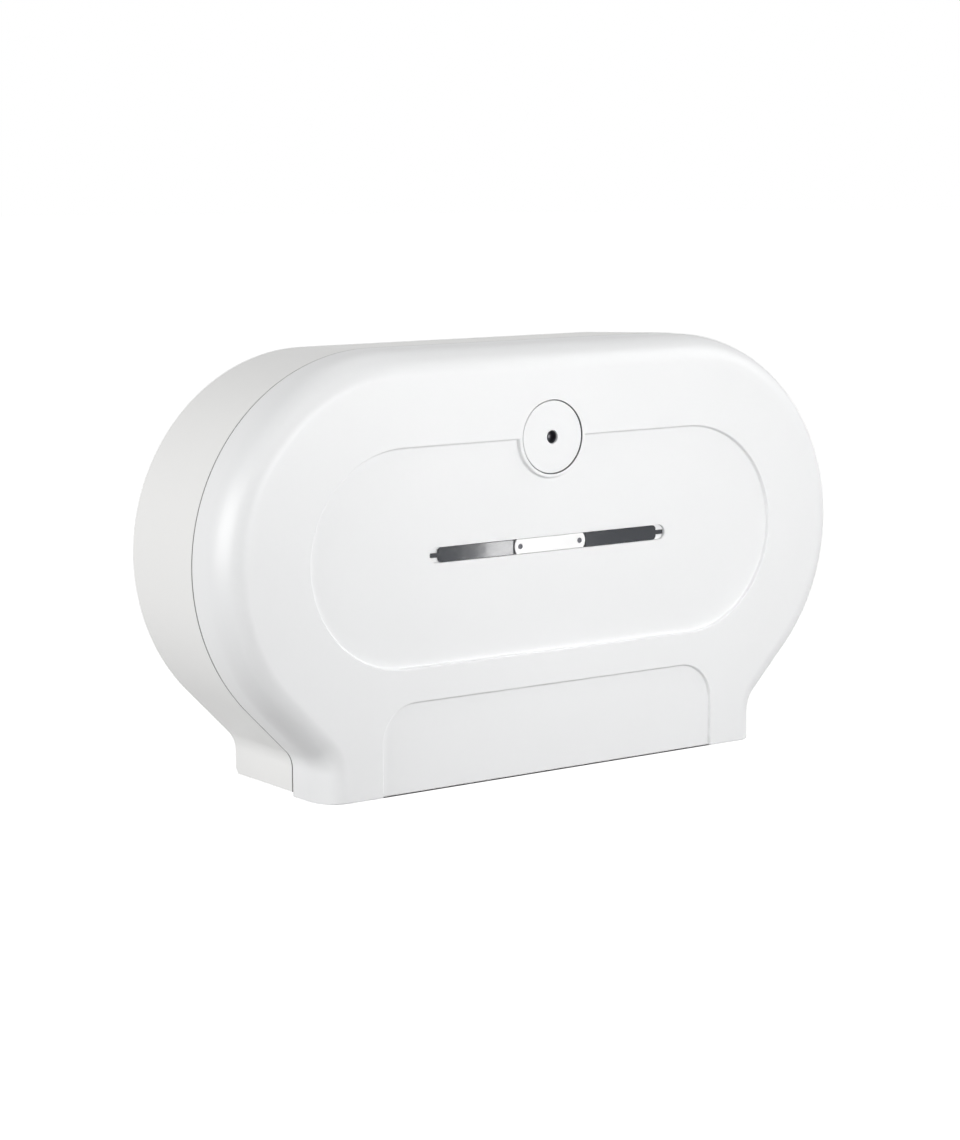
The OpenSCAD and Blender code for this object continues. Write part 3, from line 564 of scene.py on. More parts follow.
def edge_arcs(forward=True):
    """The two arcs of the round edge, from the side to the face or back."""
    s = settings("outline")
    reach_in, start = round_edge_places()
    arcs = [
        (s.side_r, start, s.edge_turn, s.edge_steps),
        (reach_in, s.face - s.face_r, math.pi / 2 - s.edge_turn, s.edge_steps),
    ]
    if forward:
        return arcs
    return [(inset, depth, -by, steps) for inset, depth, by, steps in reversed(arcs)]


def cover_body(name, inset, back, low):
    """The cover's outer form as one solid, taken in by an amount."""
    s = settings("outline")
    start = round_edge_places()[1]
    o = draw_section(name, (inset, back), [(0, start - back), *edge_arcs()], low)
    return close_ends(sweep(o, low), (s.face - inset, back), low)


def cover_wall(name, back, low):
    """The cover as a shell: its side wall and round edge all in one with a flat face."""
    s = settings("outline")
    reach_in, start = round_edge_places()
    steps = [*edge_arcs(False), (0, back - start), (s.wall, 0), (0, start - back), *edge_arcs()]
    o = draw_section(name, (reach_in, s.face), steps, low)
    return close_ends(sweep(o, low), (s.face, s.face - s.wall), low)


def round_edges(o, radius_at, sharp=math.radians(28), segments=3):
    """Rounds every edge sharper than an angle by the radius that its place asks for."""
    mesh = o.data
    faces_of = {}
    for p in mesh.polygons:
        for key in p.edge_keys:
            faces_of.setdefault(key, []).append(p.normal)
    widest = 0.0
    weights = []
    for e in mesh.edges:
        normals = faces_of.get(tuple(sorted(e.vertices)), [])
        r = 0.0
        if len(normals) == 2 and normals[0].angle(normals[1], 0) > sharp:
            middle = (mesh.vertices[e.vertices[0]].co + mesh.vertices[e.vertices[1]].co) / 2
            r = radius_at(middle)
        weights.append(r)
        widest = max(widest, r)
    attribute = mesh.attributes.get("bevel_weight_edge") or mesh.attributes.new(
        "bevel_weight_edge", "FLOAT", "EDGE"
    )
    attribute.data.foreach_set("value", [w / widest for w in weights])
    apply_modifier(
        o, "BEVEL", limit_method="WEIGHT", width=widest, segments=segments, use_clamp_overlap=False,
        miter_outer="MITER_SHARP", loop_slide=True,
    )


def smooth_normals(o, keep=math.radians(40)):
    """Smooth shading whose normals lie flat on the large faces."""
    pick(o)
    bpy.ops.object.shade_smooth_by_angle(angle=keep)
    bpy.ops.object.modifier_add(type="WEIGHTED_NORMAL")
    o.modifiers[-1].keep_sharp = True
    o.modifiers[-1].weight = 80


def soften(name, material, slot, radius):
    """A merged copy of a carried-over solid with its edges rounded, which stands for it."""
    source = frame["nodes"][name]
    pick(source)
    bpy.ops.object.duplicate()
    o = bpy.context.object
    del o["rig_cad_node"]
    bpy.ops.object.mode_set(mode="EDIT")
    bpy.ops.mesh.select_all(action="SELECT")
    bpy.ops.mesh.remove_doubles(threshold=SAME)
    bpy.ops.mesh.dissolve_limited(angle_limit=math.radians(0.4))
    bpy.ops.object.mode_set(mode="OBJECT")
    apply_modifier(
        o, "BEVEL", limit_method="ANGLE", angle_limit=math.radians(30), width=radius, segments=2,
    )
    smooth_normals(o)
    return finish_piece(o, name + "_softened", source["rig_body"], material, slot, [name])


def finish_moulding(o, radius_at, name, body, finish, slot, replaced, segments=3):
    """Rounds and smooths a modelled piece and gives it its finish."""
    round_edges(o, radius_at, segments=segments)
    smooth_normals(o)
    return finish_piece(o, name, body, finishes()[finish], slot, [replaced])


def finish_piece(o, name, body, material, slot=None, replaces=()):
    o.name = o.data.name = name
    o.data.materials.clear()
    o.data.materials.append(material)
    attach(o, body)
    if replaces:
        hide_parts(*replaces)
    return o


# ---- finishes -------------------------------------------------------------------------------


FLOAT = "NodeSocketFloat"


def new_group(name, inputs, outputs):
    """An empty shader group with named sockets, and its input and output nodes."""
    group = bpy.data.node_groups.new(name, "ShaderNodeTree")
    for label, kind, default in inputs:
        socket = group.interface.new_socket(name=label, in_out="INPUT", socket_type=kind)
        socket.default_value = default
    for label, kind in outputs:
        group.interface.new_socket(name=label, in_out="OUTPUT", socket_type=kind)
    return group, group.nodes.new("NodeGroupInput"), group.nodes.new("NodeGroupOutput")


def node(tree, kind, links=(), **values):
    """A new node with its properties set and its inputs linked: {input: socket or value}."""
    n = tree.nodes.new(kind)
    for key, value in values.items():
        setattr(n, key, value)
    for key, value in dict(links).items():
        if isinstance(value, bpy.types.NodeSocket):
            tree.links.new(value, n.inputs[key])
        else:
            n.inputs[key].default_value = value
    return n


def maths(tree, operation, *values):
    return node(tree, "ShaderNodeMath", dict(enumerate(values)), operation=operation).outputs[0]


def scaled(tree, vector, by):
    return node(tree, "ShaderNodeVectorMath", {0: vector, "Scale": by}, operation="SCALE").outputs[0]


def stretched(tree, vector, by):
    return node(tree, "ShaderNodeVectorMath", {0: vector, 1: by}, operation="MULTIPLY").outputs[0]


def mixed(tree, share, a, b):
    return node(tree, "ShaderNodeMix", {"Factor": share, 2: a, 3: b}).outputs[0]


def noise(tree, place, scale, detail, **more):
    links = {"Vector": place, "Scale": scale, "Detail": detail, **more}
    return node(tree, "ShaderNodeTexNoise", links).outputs[0]


def object_place(tree):
    return node(tree, "ShaderNodeTexCoord").outputs["Object"]


def centred(tree, level, spread, base):
    """base plus a noise level, centred on nought, times a spread."""
    level = maths(tree, "SUBTRACT", level, 0.5)
    return maths(tree, "ADD", maths(tree, "MULTIPLY", level, spread), base)


def surface_group(name, rgb, inputs):
    """A group that takes a colour and more, and gives colour, roughness and height."""
    return new_group(
        name,
        [("Color", "NodeSocketColor", (*rgb, 1)), *inputs],
        [("Color", "NodeSocketColor"), ("Roughness", FLOAT), ("Height", FLOAT)],
    )


def give(group, out, **results):
    for label, socket in results.items():
        group.links.new(socket, out.inputs[label])
    return group


def moulded_group():
    """Moulded plastic: faint shade changes, uneven gloss, orange peel and fine grain."""
    group, given, out = surface_group(
        "Moulded plastic", (0.8, 0.8, 0.8),
        [
            ("Shade Spread", FLOAT, 0.03),
            ("Roughness", FLOAT, 0.3),
            ("Gloss Spread", FLOAT, 0.08),
            ("Peel Scale", FLOAT, 240.0),
            ("Grain Scale", FLOAT, 1500.0),
            ("Grain Share", FLOAT, 0.3),
        ],
    )
    value, place = given.outputs, object_place(group)
    broad = noise(group, place, 14.0, 4.0)
    smears = noise(group, place, 55.0, 3.0, Distortion=0.6)
    peel = noise(group, place, value["Peel Scale"], 1.0, Roughness=0.4)
    grain = noise(group, place, value["Grain Scale"], 2.0)
    return give(
        group, out,
        Color=scaled(group, value["Color"], centred(group, broad, value["Shade Spread"], 1.0)),
        Roughness=centred(group, smears, value["Gloss Spread"], value["Roughness"]),
        Height=mixed(group, value["Grain Share"], peel, grain),
    )


def polished_group():
    """Extruded clear plastic: fine ripples along the strip, and smears in its gloss."""
    group, given, out = surface_group(
        "Polished strip", (0.02, 0.02, 0.02),
        [
            ("Shade Spread", FLOAT, 0.3),
            ("Roughness", FLOAT, 0.1),
            ("Gloss Spread", FLOAT, 0.06),
            ("Ripple Stretch", "NodeSocketVector", (0.15, 1.0, 1.0)),
            ("Ripple Scale", FLOAT, 800.0),
        ],
    )
    value = given.outputs
    drawn = stretched(group, object_place(group), value["Ripple Stretch"])
    smears = noise(group, drawn, 160.0, 3.0)
    return give(
        group, out,
        Color=scaled(group, value["Color"], centred(group, smears, value["Shade Spread"], 1.0)),
        Roughness=centred(group, smears, value["Gloss Spread"], value["Roughness"]),
        Height=noise(group, drawn, value["Ripple Scale"], 1.0),
    )


def metal_group():
    """Drawn or cast metal: streaks along one axis, tone changes and fine scratches."""
    group, given, out = surface_group(
        "Metal grain", (0.6, 0.6, 0.6),
        [
            ("Tone Spread", FLOAT, 0.2),
            ("Roughness", FLOAT, 0.3),
            ("Gloss Spread", FLOAT, 0.15),
            ("Stretch", "NodeSocketVector", (1.0, 1.0, 1.0)),
            ("Grain Scale", FLOAT, 900.0),
        ],
    )
    value, place = given.outputs, object_place(group)
    grain = noise(group, stretched(group, place, value["Stretch"]), value["Grain Scale"], 3.0)
    cloud = noise(group, place, 90.0, 3.0)
    return give(
        group, out,
        Color=scaled(group, value["Color"], centred(group, cloud, value["Tone Spread"], 1.0)),
        Roughness=centred(group, grain, value["Gloss Spread"], value["Roughness"]),
        Height=grain,
    )


def painted_gap_shade_group():
    """Painted shade: darkens a colour inside the seam round the body, more towards the bottom, and inside the
    ring round the lock disc.
    """
    group, given, out = new_group(
        "Painted gap shade",
        [
            ("Color", "NodeSocketColor", (0.8, 0.8, 0.8, 1)),
            ("Seam Depth", FLOAT, 0.085),
            ("Seam Reach", FLOAT, 0.0007),
            ("Seam Low", FLOAT, 0.2),
            ("Seam High", FLOAT, 0.6),
            ("Ring Height", FLOAT, 0.075),
            ("Ring Radius", FLOAT, 0.0),
            ("Ring Reach", FLOAT, 0.0005),
            ("Ring Shade", FLOAT, 0.2),
        ],
        [("Color", "NodeSocketColor")],
    )
    value = given.outputs
    part = node(group, "ShaderNodeSeparateXYZ", {0: object_place(group)}).outputs
    seam = within(group, maths(group, "ADD", part["Y"], value["Seam Depth"]), value["Seam Reach"])
    # painted shade in the seam, darker towards the bottom
    level = node(
        group, "ShaderNodeMapRange",
        {"Value": part["Z"], "From Min": -0.06, "From Max": 0.12,
         "To Min": value["Seam Low"], "To Max": value["Seam High"]},
    ).outputs[0]
    up = maths(group, "SUBTRACT", part["Z"], value["Ring Height"])
    flat = node(group, "ShaderNodeCombineXYZ", {0: part["X"], 1: up}).outputs[0]
    radial = maths(group, "SUBTRACT", distance(group, flat), value["Ring Radius"])
    # painted shadow in the gap round the lock disc
    ring = within(group, radial, value["Ring Reach"])
    shade = maths(
        group, "MULTIPLY", mixed(group, seam, 1.0, level), mixed(group, ring, 1.0, value["Ring Shade"])
    )
    return give(group, out, Color=scaled(group, value["Color"], shade))


def distance(tree, vector):
    return node(tree, "ShaderNodeVectorMath", {0: vector}, operation="LENGTH").outputs["Value"]


def within(tree, off, reach):
    """One where a distance from a line stays within a reach, nought elsewhere."""
    return maths(tree, "LESS_THAN", maths(tree, "ABSOLUTE", off), reach)


def paint_gap_shade(material, **inputs):
    """Puts the painted gap shade between a material's colour and its shader."""
    tree = material.node_tree
    surface = tree.nodes["Principled BSDF"]
    dark = node(tree, "ShaderNodeGroup", {}, node_tree=shared("gap", painted_gap_shade_group))
    set_inputs(dark, inputs)
    tree.links.new(surface.inputs["Base Color"].links[0].from_socket, dark.inputs["Color"])
    tree.links.new(dark.outputs["Color"], surface.inputs["Base Color"])
    return material


def set_inputs(shader, values):
    for label, value in values.items():
        shader.inputs[label.replace("_", " ")].default_value = value


GROUPS = {}


def shared(name, build):
    if name not in GROUPS:
        GROUPS[name] = build()
    return GROUPS[name]


def finish_material(name, group, inputs, bump, bump_depth, **shader):
    """A material whose colour, gloss and relief come from a shared group."""
    material = bpy.data.materials.new(name)
    material.use_nodes = True
    tree = material.node_tree
    surface = tree.nodes["Principled BSDF"]
    source = node(tree, "ShaderNodeGroup", {}, node_tree=group)
    set_inputs(source, inputs)
    heights = {"Strength": bump, "Distance": bump_depth, "Height": source.outputs["Height"]}
    relief = node(tree, "ShaderNodeBump", heights)
    tree.links.new(source.outputs["Color"], surface.inputs["Base Color"])
    tree.links.new(source.outputs["Roughness"], surface.inputs["Roughness"])
    tree.links.new(relief.outputs[0], surface.inputs["Normal"])
    set_inputs(surface, shader)
    return material


SATIN = {"roughness": 0.42, "Coat_Weight": 0.12, "Coat_Roughness": 0.25}


def plastic(name, rgba, roughness, bump=0.25, **shader):
    inputs = {"Color": rgba, "Roughness": roughness, "Shade Spread": 0.025, "Gloss Spread": 0.08}
    return finish_material(
        name, shared("moulded", moulded_group), inputs, bump, bump_depth=0.00012, IOR=1.49, **shader
    )


def metal(name, rgba, roughness, stretch=(1, 1, 1), scale=900.0, bump=0.15):
    inputs = {"Color": rgba, "Roughness": roughness, "Stretch": stretch, "Grain Scale": scale}
    return finish_material(
        name, shared("metal", metal_group), inputs, bump, bump_depth=0.00005, Metallic=1.0
    )


FINISHES = {}


def finishes():
    """All materials by name, made once."""
    if not FINISHES:
        c, s, k = settings("colours"), settings("outline"), settings("lock")
        FINISHES.update(
            # the cover and casing whites carry painted shade in the seam, the cover's also in the ring round
            # the lock disc
            cover=paint_gap_shade(
                plastic("Cover plastic", c.cover, **SATIN), Seam_Depth=s.seam + s.seam_gap / 2,
                Ring_Height=k.z, Ring_Radius=k.cup_r - 0.0003,
            ),
            casing=paint_gap_shade(
                plastic("Casing plastic", c.casing, **SATIN), Seam_Depth=s.seam + s.seam_gap / 2,
            ),
            inner=plastic("Inner plastic", c.inner, 0.5, bump=0.5),
            bridge=plastic(
                "Bridge plastic", (0.97, 0.97, 0.97, 1), 0.25, Coat_Weight=0.4, Coat_Roughness=0.08,
            ),
            hub=plastic("Hub plastic", c.hub, 0.45, bump=0.5),
            disc=plastic("Disc plastic", c.cover, **SATIN),
            lens=finish_material(
                "Smoked lens", shared("polished", polished_group), {"Color": c.smoke, "Roughness": 0.09},
                bump=1.0, bump_depth=0.00003, IOR=1.49, Coat_Weight=0.45, Coat_Roughness=0.03,
            ),
            zinc=metal("Cast zinc", c.zinc, 0.42, scale=700.0, bump=0.3),
            dark_steel=metal("Dark steel", (0.11, 0.11, 0.12, 1), 0.38, scale=1600.0),
            steel=metal("Bright steel", c.steel, 0.28, stretch=(0.06, 1, 1), scale=1400.0),
            blade=metal("Blade steel", c.steel, 0.32, stretch=(1, 0.03, 1), scale=1800.0, bump=0.25),
        )
    return FINISHES


# ---- pieces ---------------------------------------------------------------------------------


class DispenserOperator(Operator):
    """Shared by every piece: runs its build and reports it done"""

    bl_options = {"REGISTER", "UNDO"}

    def execute(self, context):
        self.build()
        return {"FINISHED"}


class DISPENSER_OT_cover(DispenserOperator):
    """Models the front cover with its round edge, sunk panel, lower recess, boss and slot"""

    bl_idname = "dispenser.cover"
    bl_label = "Front cover"

    def build(self):
        s, f, k, h = settings("outline"), settings("face"), settings("lock"), settings("hinge")
        back, over = s.seam + s.seam_gap, s.face + 3 * PAST
        shell = cover_wall("cover", back, s.cover_low)
        add(
            shell,
            stadium(f.panel_w + 2 * s.wall, f.panel_h + 2 * s.wall, f.panel_z, f.panel_floor - s.wall,
                f.panel_floor + s.wall / 2),
            apron(s.wall, f.apron_floor - s.wall, f.apron_floor + s.wall / 3, s.cover_low),
            bar(0, k.z, k.boss_r - 0.0002, f.panel_floor - s.wall, f.panel_floor + s.wall / 2),
            stadium(f.slot_w + SLOT_WALL, f.slot_h + SLOT_WALL, f.panel_z, f.slot_back, f.panel_floor - PAST),
        )
        for side in (-1, 1):
            corner = block(
                sorted((side * (h.x - h.hinge_l / 2), side * (s.foot_x + 10 * PAST))),
                (back, s.face - s.wall / 2), (s.cover_low + CORNER_RISE, s.casing_low),
            )
            combine(corner, cover_body("corner", s.wall / 2, back, s.cover_low), "INTERSECT")
            half = h.hinge_l / 2 - h.knuckle_l - h.gap
            add(shell, corner, hinge_bar(side, 0, half, h.knuckle_r))
        panel = stadium(f.panel_w, f.panel_h, f.panel_z, f.panel_floor, over, steps=96)
        cut(panel, bar(0, k.z, k.boss_r, f.panel_floor - PAST, over + PAST, 120))
        cut(
            shell, panel, apron(0, f.apron_floor, over, s.cover_low - 2 * PAST),
            bar(0, k.z, k.cup_r, k.disc_back, over, 120), bar(0, k.z, k.flange_r, k.flange_back, over),
            bar(0, k.z, k.bore_r, f.slot_back - PAST, over),
            stadium(f.slot_w, f.slot_h, f.panel_z, f.slot_floor, over), self.groove(k),
        )
        z = (f.panel_z - f.hole_h / 2, f.panel_z + f.hole_h / 2)
        for side in (-1, 1):
            cut(shell, block(sorted((side * f.hole_in, side * f.hole_out)), (f.slot_back - PAST, over), z))
            cut(shell, bar(side * f.bridge_screw_x, f.panel_z, SCREW_BORE_R, f.slot_back - PAST, over, 24))
            for end in (-1, 1):
                cut(shell, knuckle(side, end, h.gap))
            cut(shell, pin_bore(side), pin_head_room(side))
        tidy_mesh(shell)
        slot_x, slot_z = 0.104, 0.0065  # how far the edges of the slot reach from its middle

        def radius(p):
            depth, off_lock = -p.y, math.hypot(p.x, p.z - k.z)
            # the hinge bars, the lock and the slot, the inside, then the panel and the rims
            if depth < s.seam + 0.004 and p.z < s.casing_low + 0.004 and abs(abs(p.x) - h.x) < h.hinge_l:
                return FINE_R
            if off_lock < k.boss_r - 0.001 or (abs(p.x) < slot_x and abs(p.z - f.panel_z) < slot_z):
                return f.slot_fillet if depth > k.flange_back + NEAR or abs(p.z) < 0.01 else 0.0
            if s.seam + 0.002 < depth < f.panel_floor - NEAR and p.z > s.cover_low + 0.0003:
                return 0.0
            return f.recess_fillet if depth > f.panel_floor - NEAR else f.rim_fillet

        finish_moulding(shell, radius, "cover_shell", "cover", "cover", "cover_white", "front_cover")

    def groove(self, k):
        """The groove in the cup's floor around the seat of the lock disc."""
        ring = bar(0, k.z, k.cup_r, k.groove_back, k.disc_back + k.disc_sink, 120)
        return cut(ring, bar(0, k.z, k.cup_r - k.groove_w, k.groove_back - PAST, k.disc_back + PAST, 120))


class DISPENSER_OT_casing(DispenserOperator):
    """Models the rear casing with its draft, lip, back plate, ribs, pads and hinge knuckles"""

    bl_idname = "dispenser.casing"
    bl_label = "Rear casing"

    def build(self):
        s, b, h = settings("outline"), settings("back"), settings("hinge")
        shell = self.rim(s)
        screws = self.screw_places(s, b)
        holes = [(x * b.hole_x, z * b.hole_z) for x in (-1, 1) for z in (-1, 1)]
        plate_front = b.setin + s.wall
        low = s.casing_low - s.casing_corner
        add(
            shell, casing_slab("plate", s.wall / 2, b.setin, plate_front, low), self.ribs(s, b, low),
            joined(*[bar(x, z, b.pad_d / 2, 0, plate_front + b.pad_rise) for x, z in holes]),
            joined(*[bar(x, z, b.boss_r, BOSS_BACK, plate_front, 32) for x, z in screws]),
            self.bottom(s),
            joined(*[knuckle(side, end, 0) for side in (-1, 1) for end in (-1, 1)]),
        )
        cut(
            shell, self.below(s),
            block((-HALF_SPACE, HALF_SPACE), (s.seam + NEAR / 10, s.face), (2 * s.cover_low, s.lip_low)),
            joined(*[bar(x, z, b.hole_d / 2, -PAST, s.seam, 40) for x, z in holes]),
            joined(*[bar(x, z, b.bore_r, BORE_BACK, s.seam, 20) for x, z in screws]),
            block((-b.opening_x, b.opening_x), (b.opening_back, s.face),
                (2 * s.cover_low, s.casing_low + 2 * s.wall)),
            joined(*[
                upright_bar(side * b.frame_screw_x, b.frame_screw_start + i * b.frame_screw_pitch,
                    2 * s.casing_low, s.casing_low + 2 * s.wall, b.bore_r)
                for side in (-1, 1) for i in range(3)
            ]),
        )
        for side in (-1, 1):
            between = hinge_bar(side, 0, h.hinge_l / 2 - h.knuckle_l, h.knuckle_r + h.gap)
            cut(shell, between, pin_bore(side), pin_head_room(side))
        tidy_mesh(shell)

        def radius(p):
            depth = -p.y
            if depth > s.seam - 0.005 and p.z < s.casing_low + 0.005 and abs(abs(p.x) - h.x) < h.hinge_l:
                return FINE_R
            if depth < b.setin + NEAR:
                return 2 * FINE_R
            return SOFT_R

        finish_moulding(shell, radius, "casing_shell", "casing", "casing", "casing_white", "rear_casing")

    def rim(self, s):
        """The wall around the casing, drafted towards the wall, with the lip that enters the cover."""
        lip_root = s.seam - 2.5 * s.lip_reach
        corners = [
            (0, 0), (0, s.casing_corner), (0, s.seam), (s.lip_in, s.seam), (s.lip_in, s.seam + s.lip_reach),
            (s.lip_in + s.lip_t, s.seam + s.lip_reach), (s.lip_in + s.lip_t, lip_root + s.lip_reach),
            (s.wall, lip_root), (s.wall, s.casing_corner), (s.wall, 0), (0, 0),
        ]
        places = [(inset + s.draft * behind_seam(depth), depth) for inset, depth in corners]
        low = s.casing_low - 2 * s.casing_corner
        shell = draw_section("casing", places[0], section_steps(places), low)
        bpy.ops.mesh.select_all(action="SELECT")
        bpy.ops.mesh.remove_doubles(threshold=SAME)
        sweep(shell, low)
        draw_in_foot(shell, sorted({depth for _, depth in places}), low)
        open_mesh(shell)
        for side in (-1, 1):
            fill(shell, lambda p: abs(p.z - low) < NEAR and side * p.x > 0)
        return tidy_mesh(shell)

    def ribs(self, s, b, low):
        """The grid of ribs that stands behind the back plate and rests on the wall."""
        end = b.setin + RIB_OVERLAP
        reach = s.axis_x + s.end_radius
        across = [0, s.axis_x / 2, s.axis_x, b.hole_x + OUTER_RIB]
        places = sorted({side * x for x in across for side in (-1, 1)})
        grid = joined(*[block((x - b.rib_t / 2, x + b.rib_t / 2), (0, end), (-reach, reach)) for x in places])
        level = [block((-reach, reach), (0, end), (z - b.rib_t / 2, z + b.rib_t / 2))
            for z in (-b.hole_z, 0, b.hole_z)]
        add(grid, joined(*level))
        return combine(casing_slab("ribs", s.wall / 2, 0, end, low), grid, "INTERSECT")

    def screw_places(self, s, b):
        """X and Z of the screws that hold the latch post and the two axles."""
        latch_z = settings("lock").z
        places = [
            (b.latch_x + x * b.latch_half_w, latch_z + z * b.latch_half_h) for x in (-1, 1) for z in (-1, 1)
        ]
        for side in (-1, 1):
            for i in range(3):
                by = i * math.tau / 3
                across, up = b.axle_pitch_r * math.sin(by), b.axle_pitch_r * math.cos(by)
                places.append((side * s.axis_x + across, up))
        return places

    def bottom(self, s):
        """The flange along the casing's bottom, wider at the seam than at the wall."""
        edge_back, edge_front = s.foot_x - s.foot_draft - s.wall / 2, s.foot_x - s.wall / 2
        o = pen("bottom", at(-edge_back, 0, s.casing_low))
        line((2 * edge_back, 0, 0))
        line((edge_front - edge_back, -s.seam, 0))
        line((-2 * edge_front, 0, 0))
        close_outline()
        push((0, 0, s.wall))
        return tidy_mesh(o)

    def below(self, s):
        """What lies below the casing's bottom edge, which falls towards the wall and is cut back there."""
        reach = s.foot_x + s.end_radius
        corner_z = s.casing_low - s.casing_fall * behind_seam(s.casing_corner)
        start = at(-reach, -s.casing_corner, corner_z + 2 * s.casing_corner)
        o = pen("below", start)
        places = [
            start, at(-reach, s.casing_corner, corner_z), at(-reach, s.seam, s.casing_low),
            at(-reach, s.face, s.casing_low), at(-reach, s.face, 2 * s.casing_low),
            at(-reach, -s.casing_corner, 2 * s.casing_low),
        ]
        for a, b in zip(places, places[1:]):
            line(b - a)
        close_outline()
        push((2 * reach, 0, 0))
        return tidy_mesh(o)


def hinge_bar(side, off, reach, r):
    """A bar on the hinge axis that reaches as far to either side of a place in the hinge."""
    s, middle = settings("outline"), side * settings("hinge").x + off
    return cross_bar(middle - reach, middle + reach, s.seam, s.casing_low, r)


def knuckle(side, end, extra):
    """One of the two outer knuckles of a hinge, grown by an amount."""
    h = settings("hinge")
    off = end * (h.hinge_l - h.knuckle_l) / 2
    return hinge_bar(side, off, h.knuckle_l / 2 + extra, h.knuckle_r + extra)


def pin_bore(side):
    h = settings("hinge")
    return hinge_bar(side, 0, h.hinge_l, h.pin_d / 2 + PIN_PLAY)


def pin_head_room(side):
    """Room for the head of a hinge pin at the hinge's outer end."""
    s, h = settings("outline"), settings("hinge")
    outer = h.x + h.hinge_l / 2
    ends = sorted((side * outer, side * (outer + h.head_t + h.gap)))
    return cross_bar(*ends, s.seam, s.casing_low, h.head_d / 2 + h.gap)


class DISPENSER_OT_lock_disc(DispenserOperator):
    """Models the round lock disc with its soft edge and the key hole"""

    bl_idname = "dispenser.lock_disc"
    bl_label = "Lock disc"

    def build(self):
        k, s = settings("lock"), settings("outline")
        face = s.face - k.disc_sink
        disc = bar(-k.disc_shift, k.z, k.disc_d / 2, k.disc_back, face, 160)
        cut(disc, bar(-k.disc_shift, k.z, k.hole_d / 2, k.disc_back - PAST, s.face + PAST, 80))

        def radius(p):
            if -p.y < face - NEAR:
                return FINE_R
            return k.disc_edge if math.hypot(p.x, p.z - k.z) > k.hole_d else 0.0003

        finish_moulding(
            disc, radius, "lock_disc_face", "cover", "disc", "cover_white", "lock_disc", segments=4
        )


class DISPENSER_OT_windows(DispenserOperator):
    """Models the two smoked lenses and the bridge plate between them"""

    bl_idname = "dispenser.windows"
    bl_label = "Level windows"

    def build(self):
        f, w = settings("face"), settings("window")
        inner_end, tongue_top = w.lens_in + 0.0004, f.slot_floor + w.tongue_t + NEAR

        def lens_radius(p):
            return 0.0008 if abs(p.x) < inner_end and -p.y > tongue_top else 0.0002

        def bridge_radius(p):
            return SOFT_R if -p.y > f.slot_floor + w.bridge_t - NEAR else FINE_R

        for side, label in ((-1, "left"), (1, "right")):
            lens = self.lens(f, w)
            if side < 0:
                lens.scale.x = -1
                tidy_mesh(settle(lens))
            finish_moulding(
                lens, lens_radius, "lens_" + label, "cover", "lens", "smoke_lens", "window_lens_" + label
            )
        finish_moulding(
            self.bridge(f, w), bridge_radius, "bridge", "cover", "bridge", "cover_white", "window_bridge"
        )

    def lens(self, f, w):
        """The right lens: a strip with round shoulders, a neck outside and a tongue inside."""
        half, neck, r = w.lens_h / 2, w.neck_h / 2, w.corner_r
        floor, top = f.slot_floor, f.panel_z + w.lens_h / 2
        o = pen("lens", at(w.lens_in, floor, top))
        line((w.shoulder - r - w.lens_in, 0, 0))
        turn(at(w.shoulder - r, floor, top - r), (0, 1, 0), -math.pi / 2, 10)
        line((0, 0, neck - half + r))
        line((w.neck_l, 0, 0))
        line((0, 0, -2 * neck))
        line((-w.neck_l, 0, 0))
        line((0, 0, neck - half + r))
        turn(at(w.shoulder - r, floor, f.panel_z - half + r), (0, 1, 0), -math.pi / 2, 10)
        line((w.lens_in - w.shoulder + r, 0, 0))
        close_outline()
        lens = thicken(o, floor, floor + w.lens_t)
        return add(lens, block((w.lens_in - w.tongue_l, w.lens_in + w.lens_t),
            (floor, floor + w.tongue_t), (f.panel_z - half, f.panel_z + half)))

    def bridge(self, f, w):
        """The plate between the lenses, with bulging ends, rebates and two screw holes."""
        half, floor, z = w.lens_h / 2, f.slot_floor, f.panel_z
        bulge_r = (half * half + w.bulge * w.bulge) / (2 * w.bulge)
        by = 2 * math.asin(half / bulge_r)
        end, centre = w.bridge_w / 2 - w.bulge, w.bridge_w / 2 - bulge_r
        o = pen("bridge", at(-end, floor, z + half))
        line((2 * end, 0, 0))
        turn(at(centre, floor, z), (0, 1, 0), -by, 24)
        line((-2 * end, 0, 0))
        turn(at(-centre, floor, z), (0, 1, 0), -by, 24)
        close_outline(merge=True)
        plate = thicken(o, floor, floor + w.bridge_t)
        for side in (-1, 1):
            rebate = sorted((side * (w.lens_in - w.tongue_l - TONGUE_PLAY), side * w.bridge_w))
            x, under, head_r = side * f.bridge_screw_x, floor - PAST, w.head_d / 2 + SET_IN_PLAY
            cut(
                plate,
                block(rebate, (under, floor + w.tongue_t + SET_IN_PLAY), (z - 2 * half, z + 2 * half)),
                bar(x, z, SCREW_BORE_R, under, f.panel_floor, 24),
                bar(x, z, head_r, floor + w.bridge_t / 2, f.panel_floor, 40),
            )
        return tidy_mesh(plate)


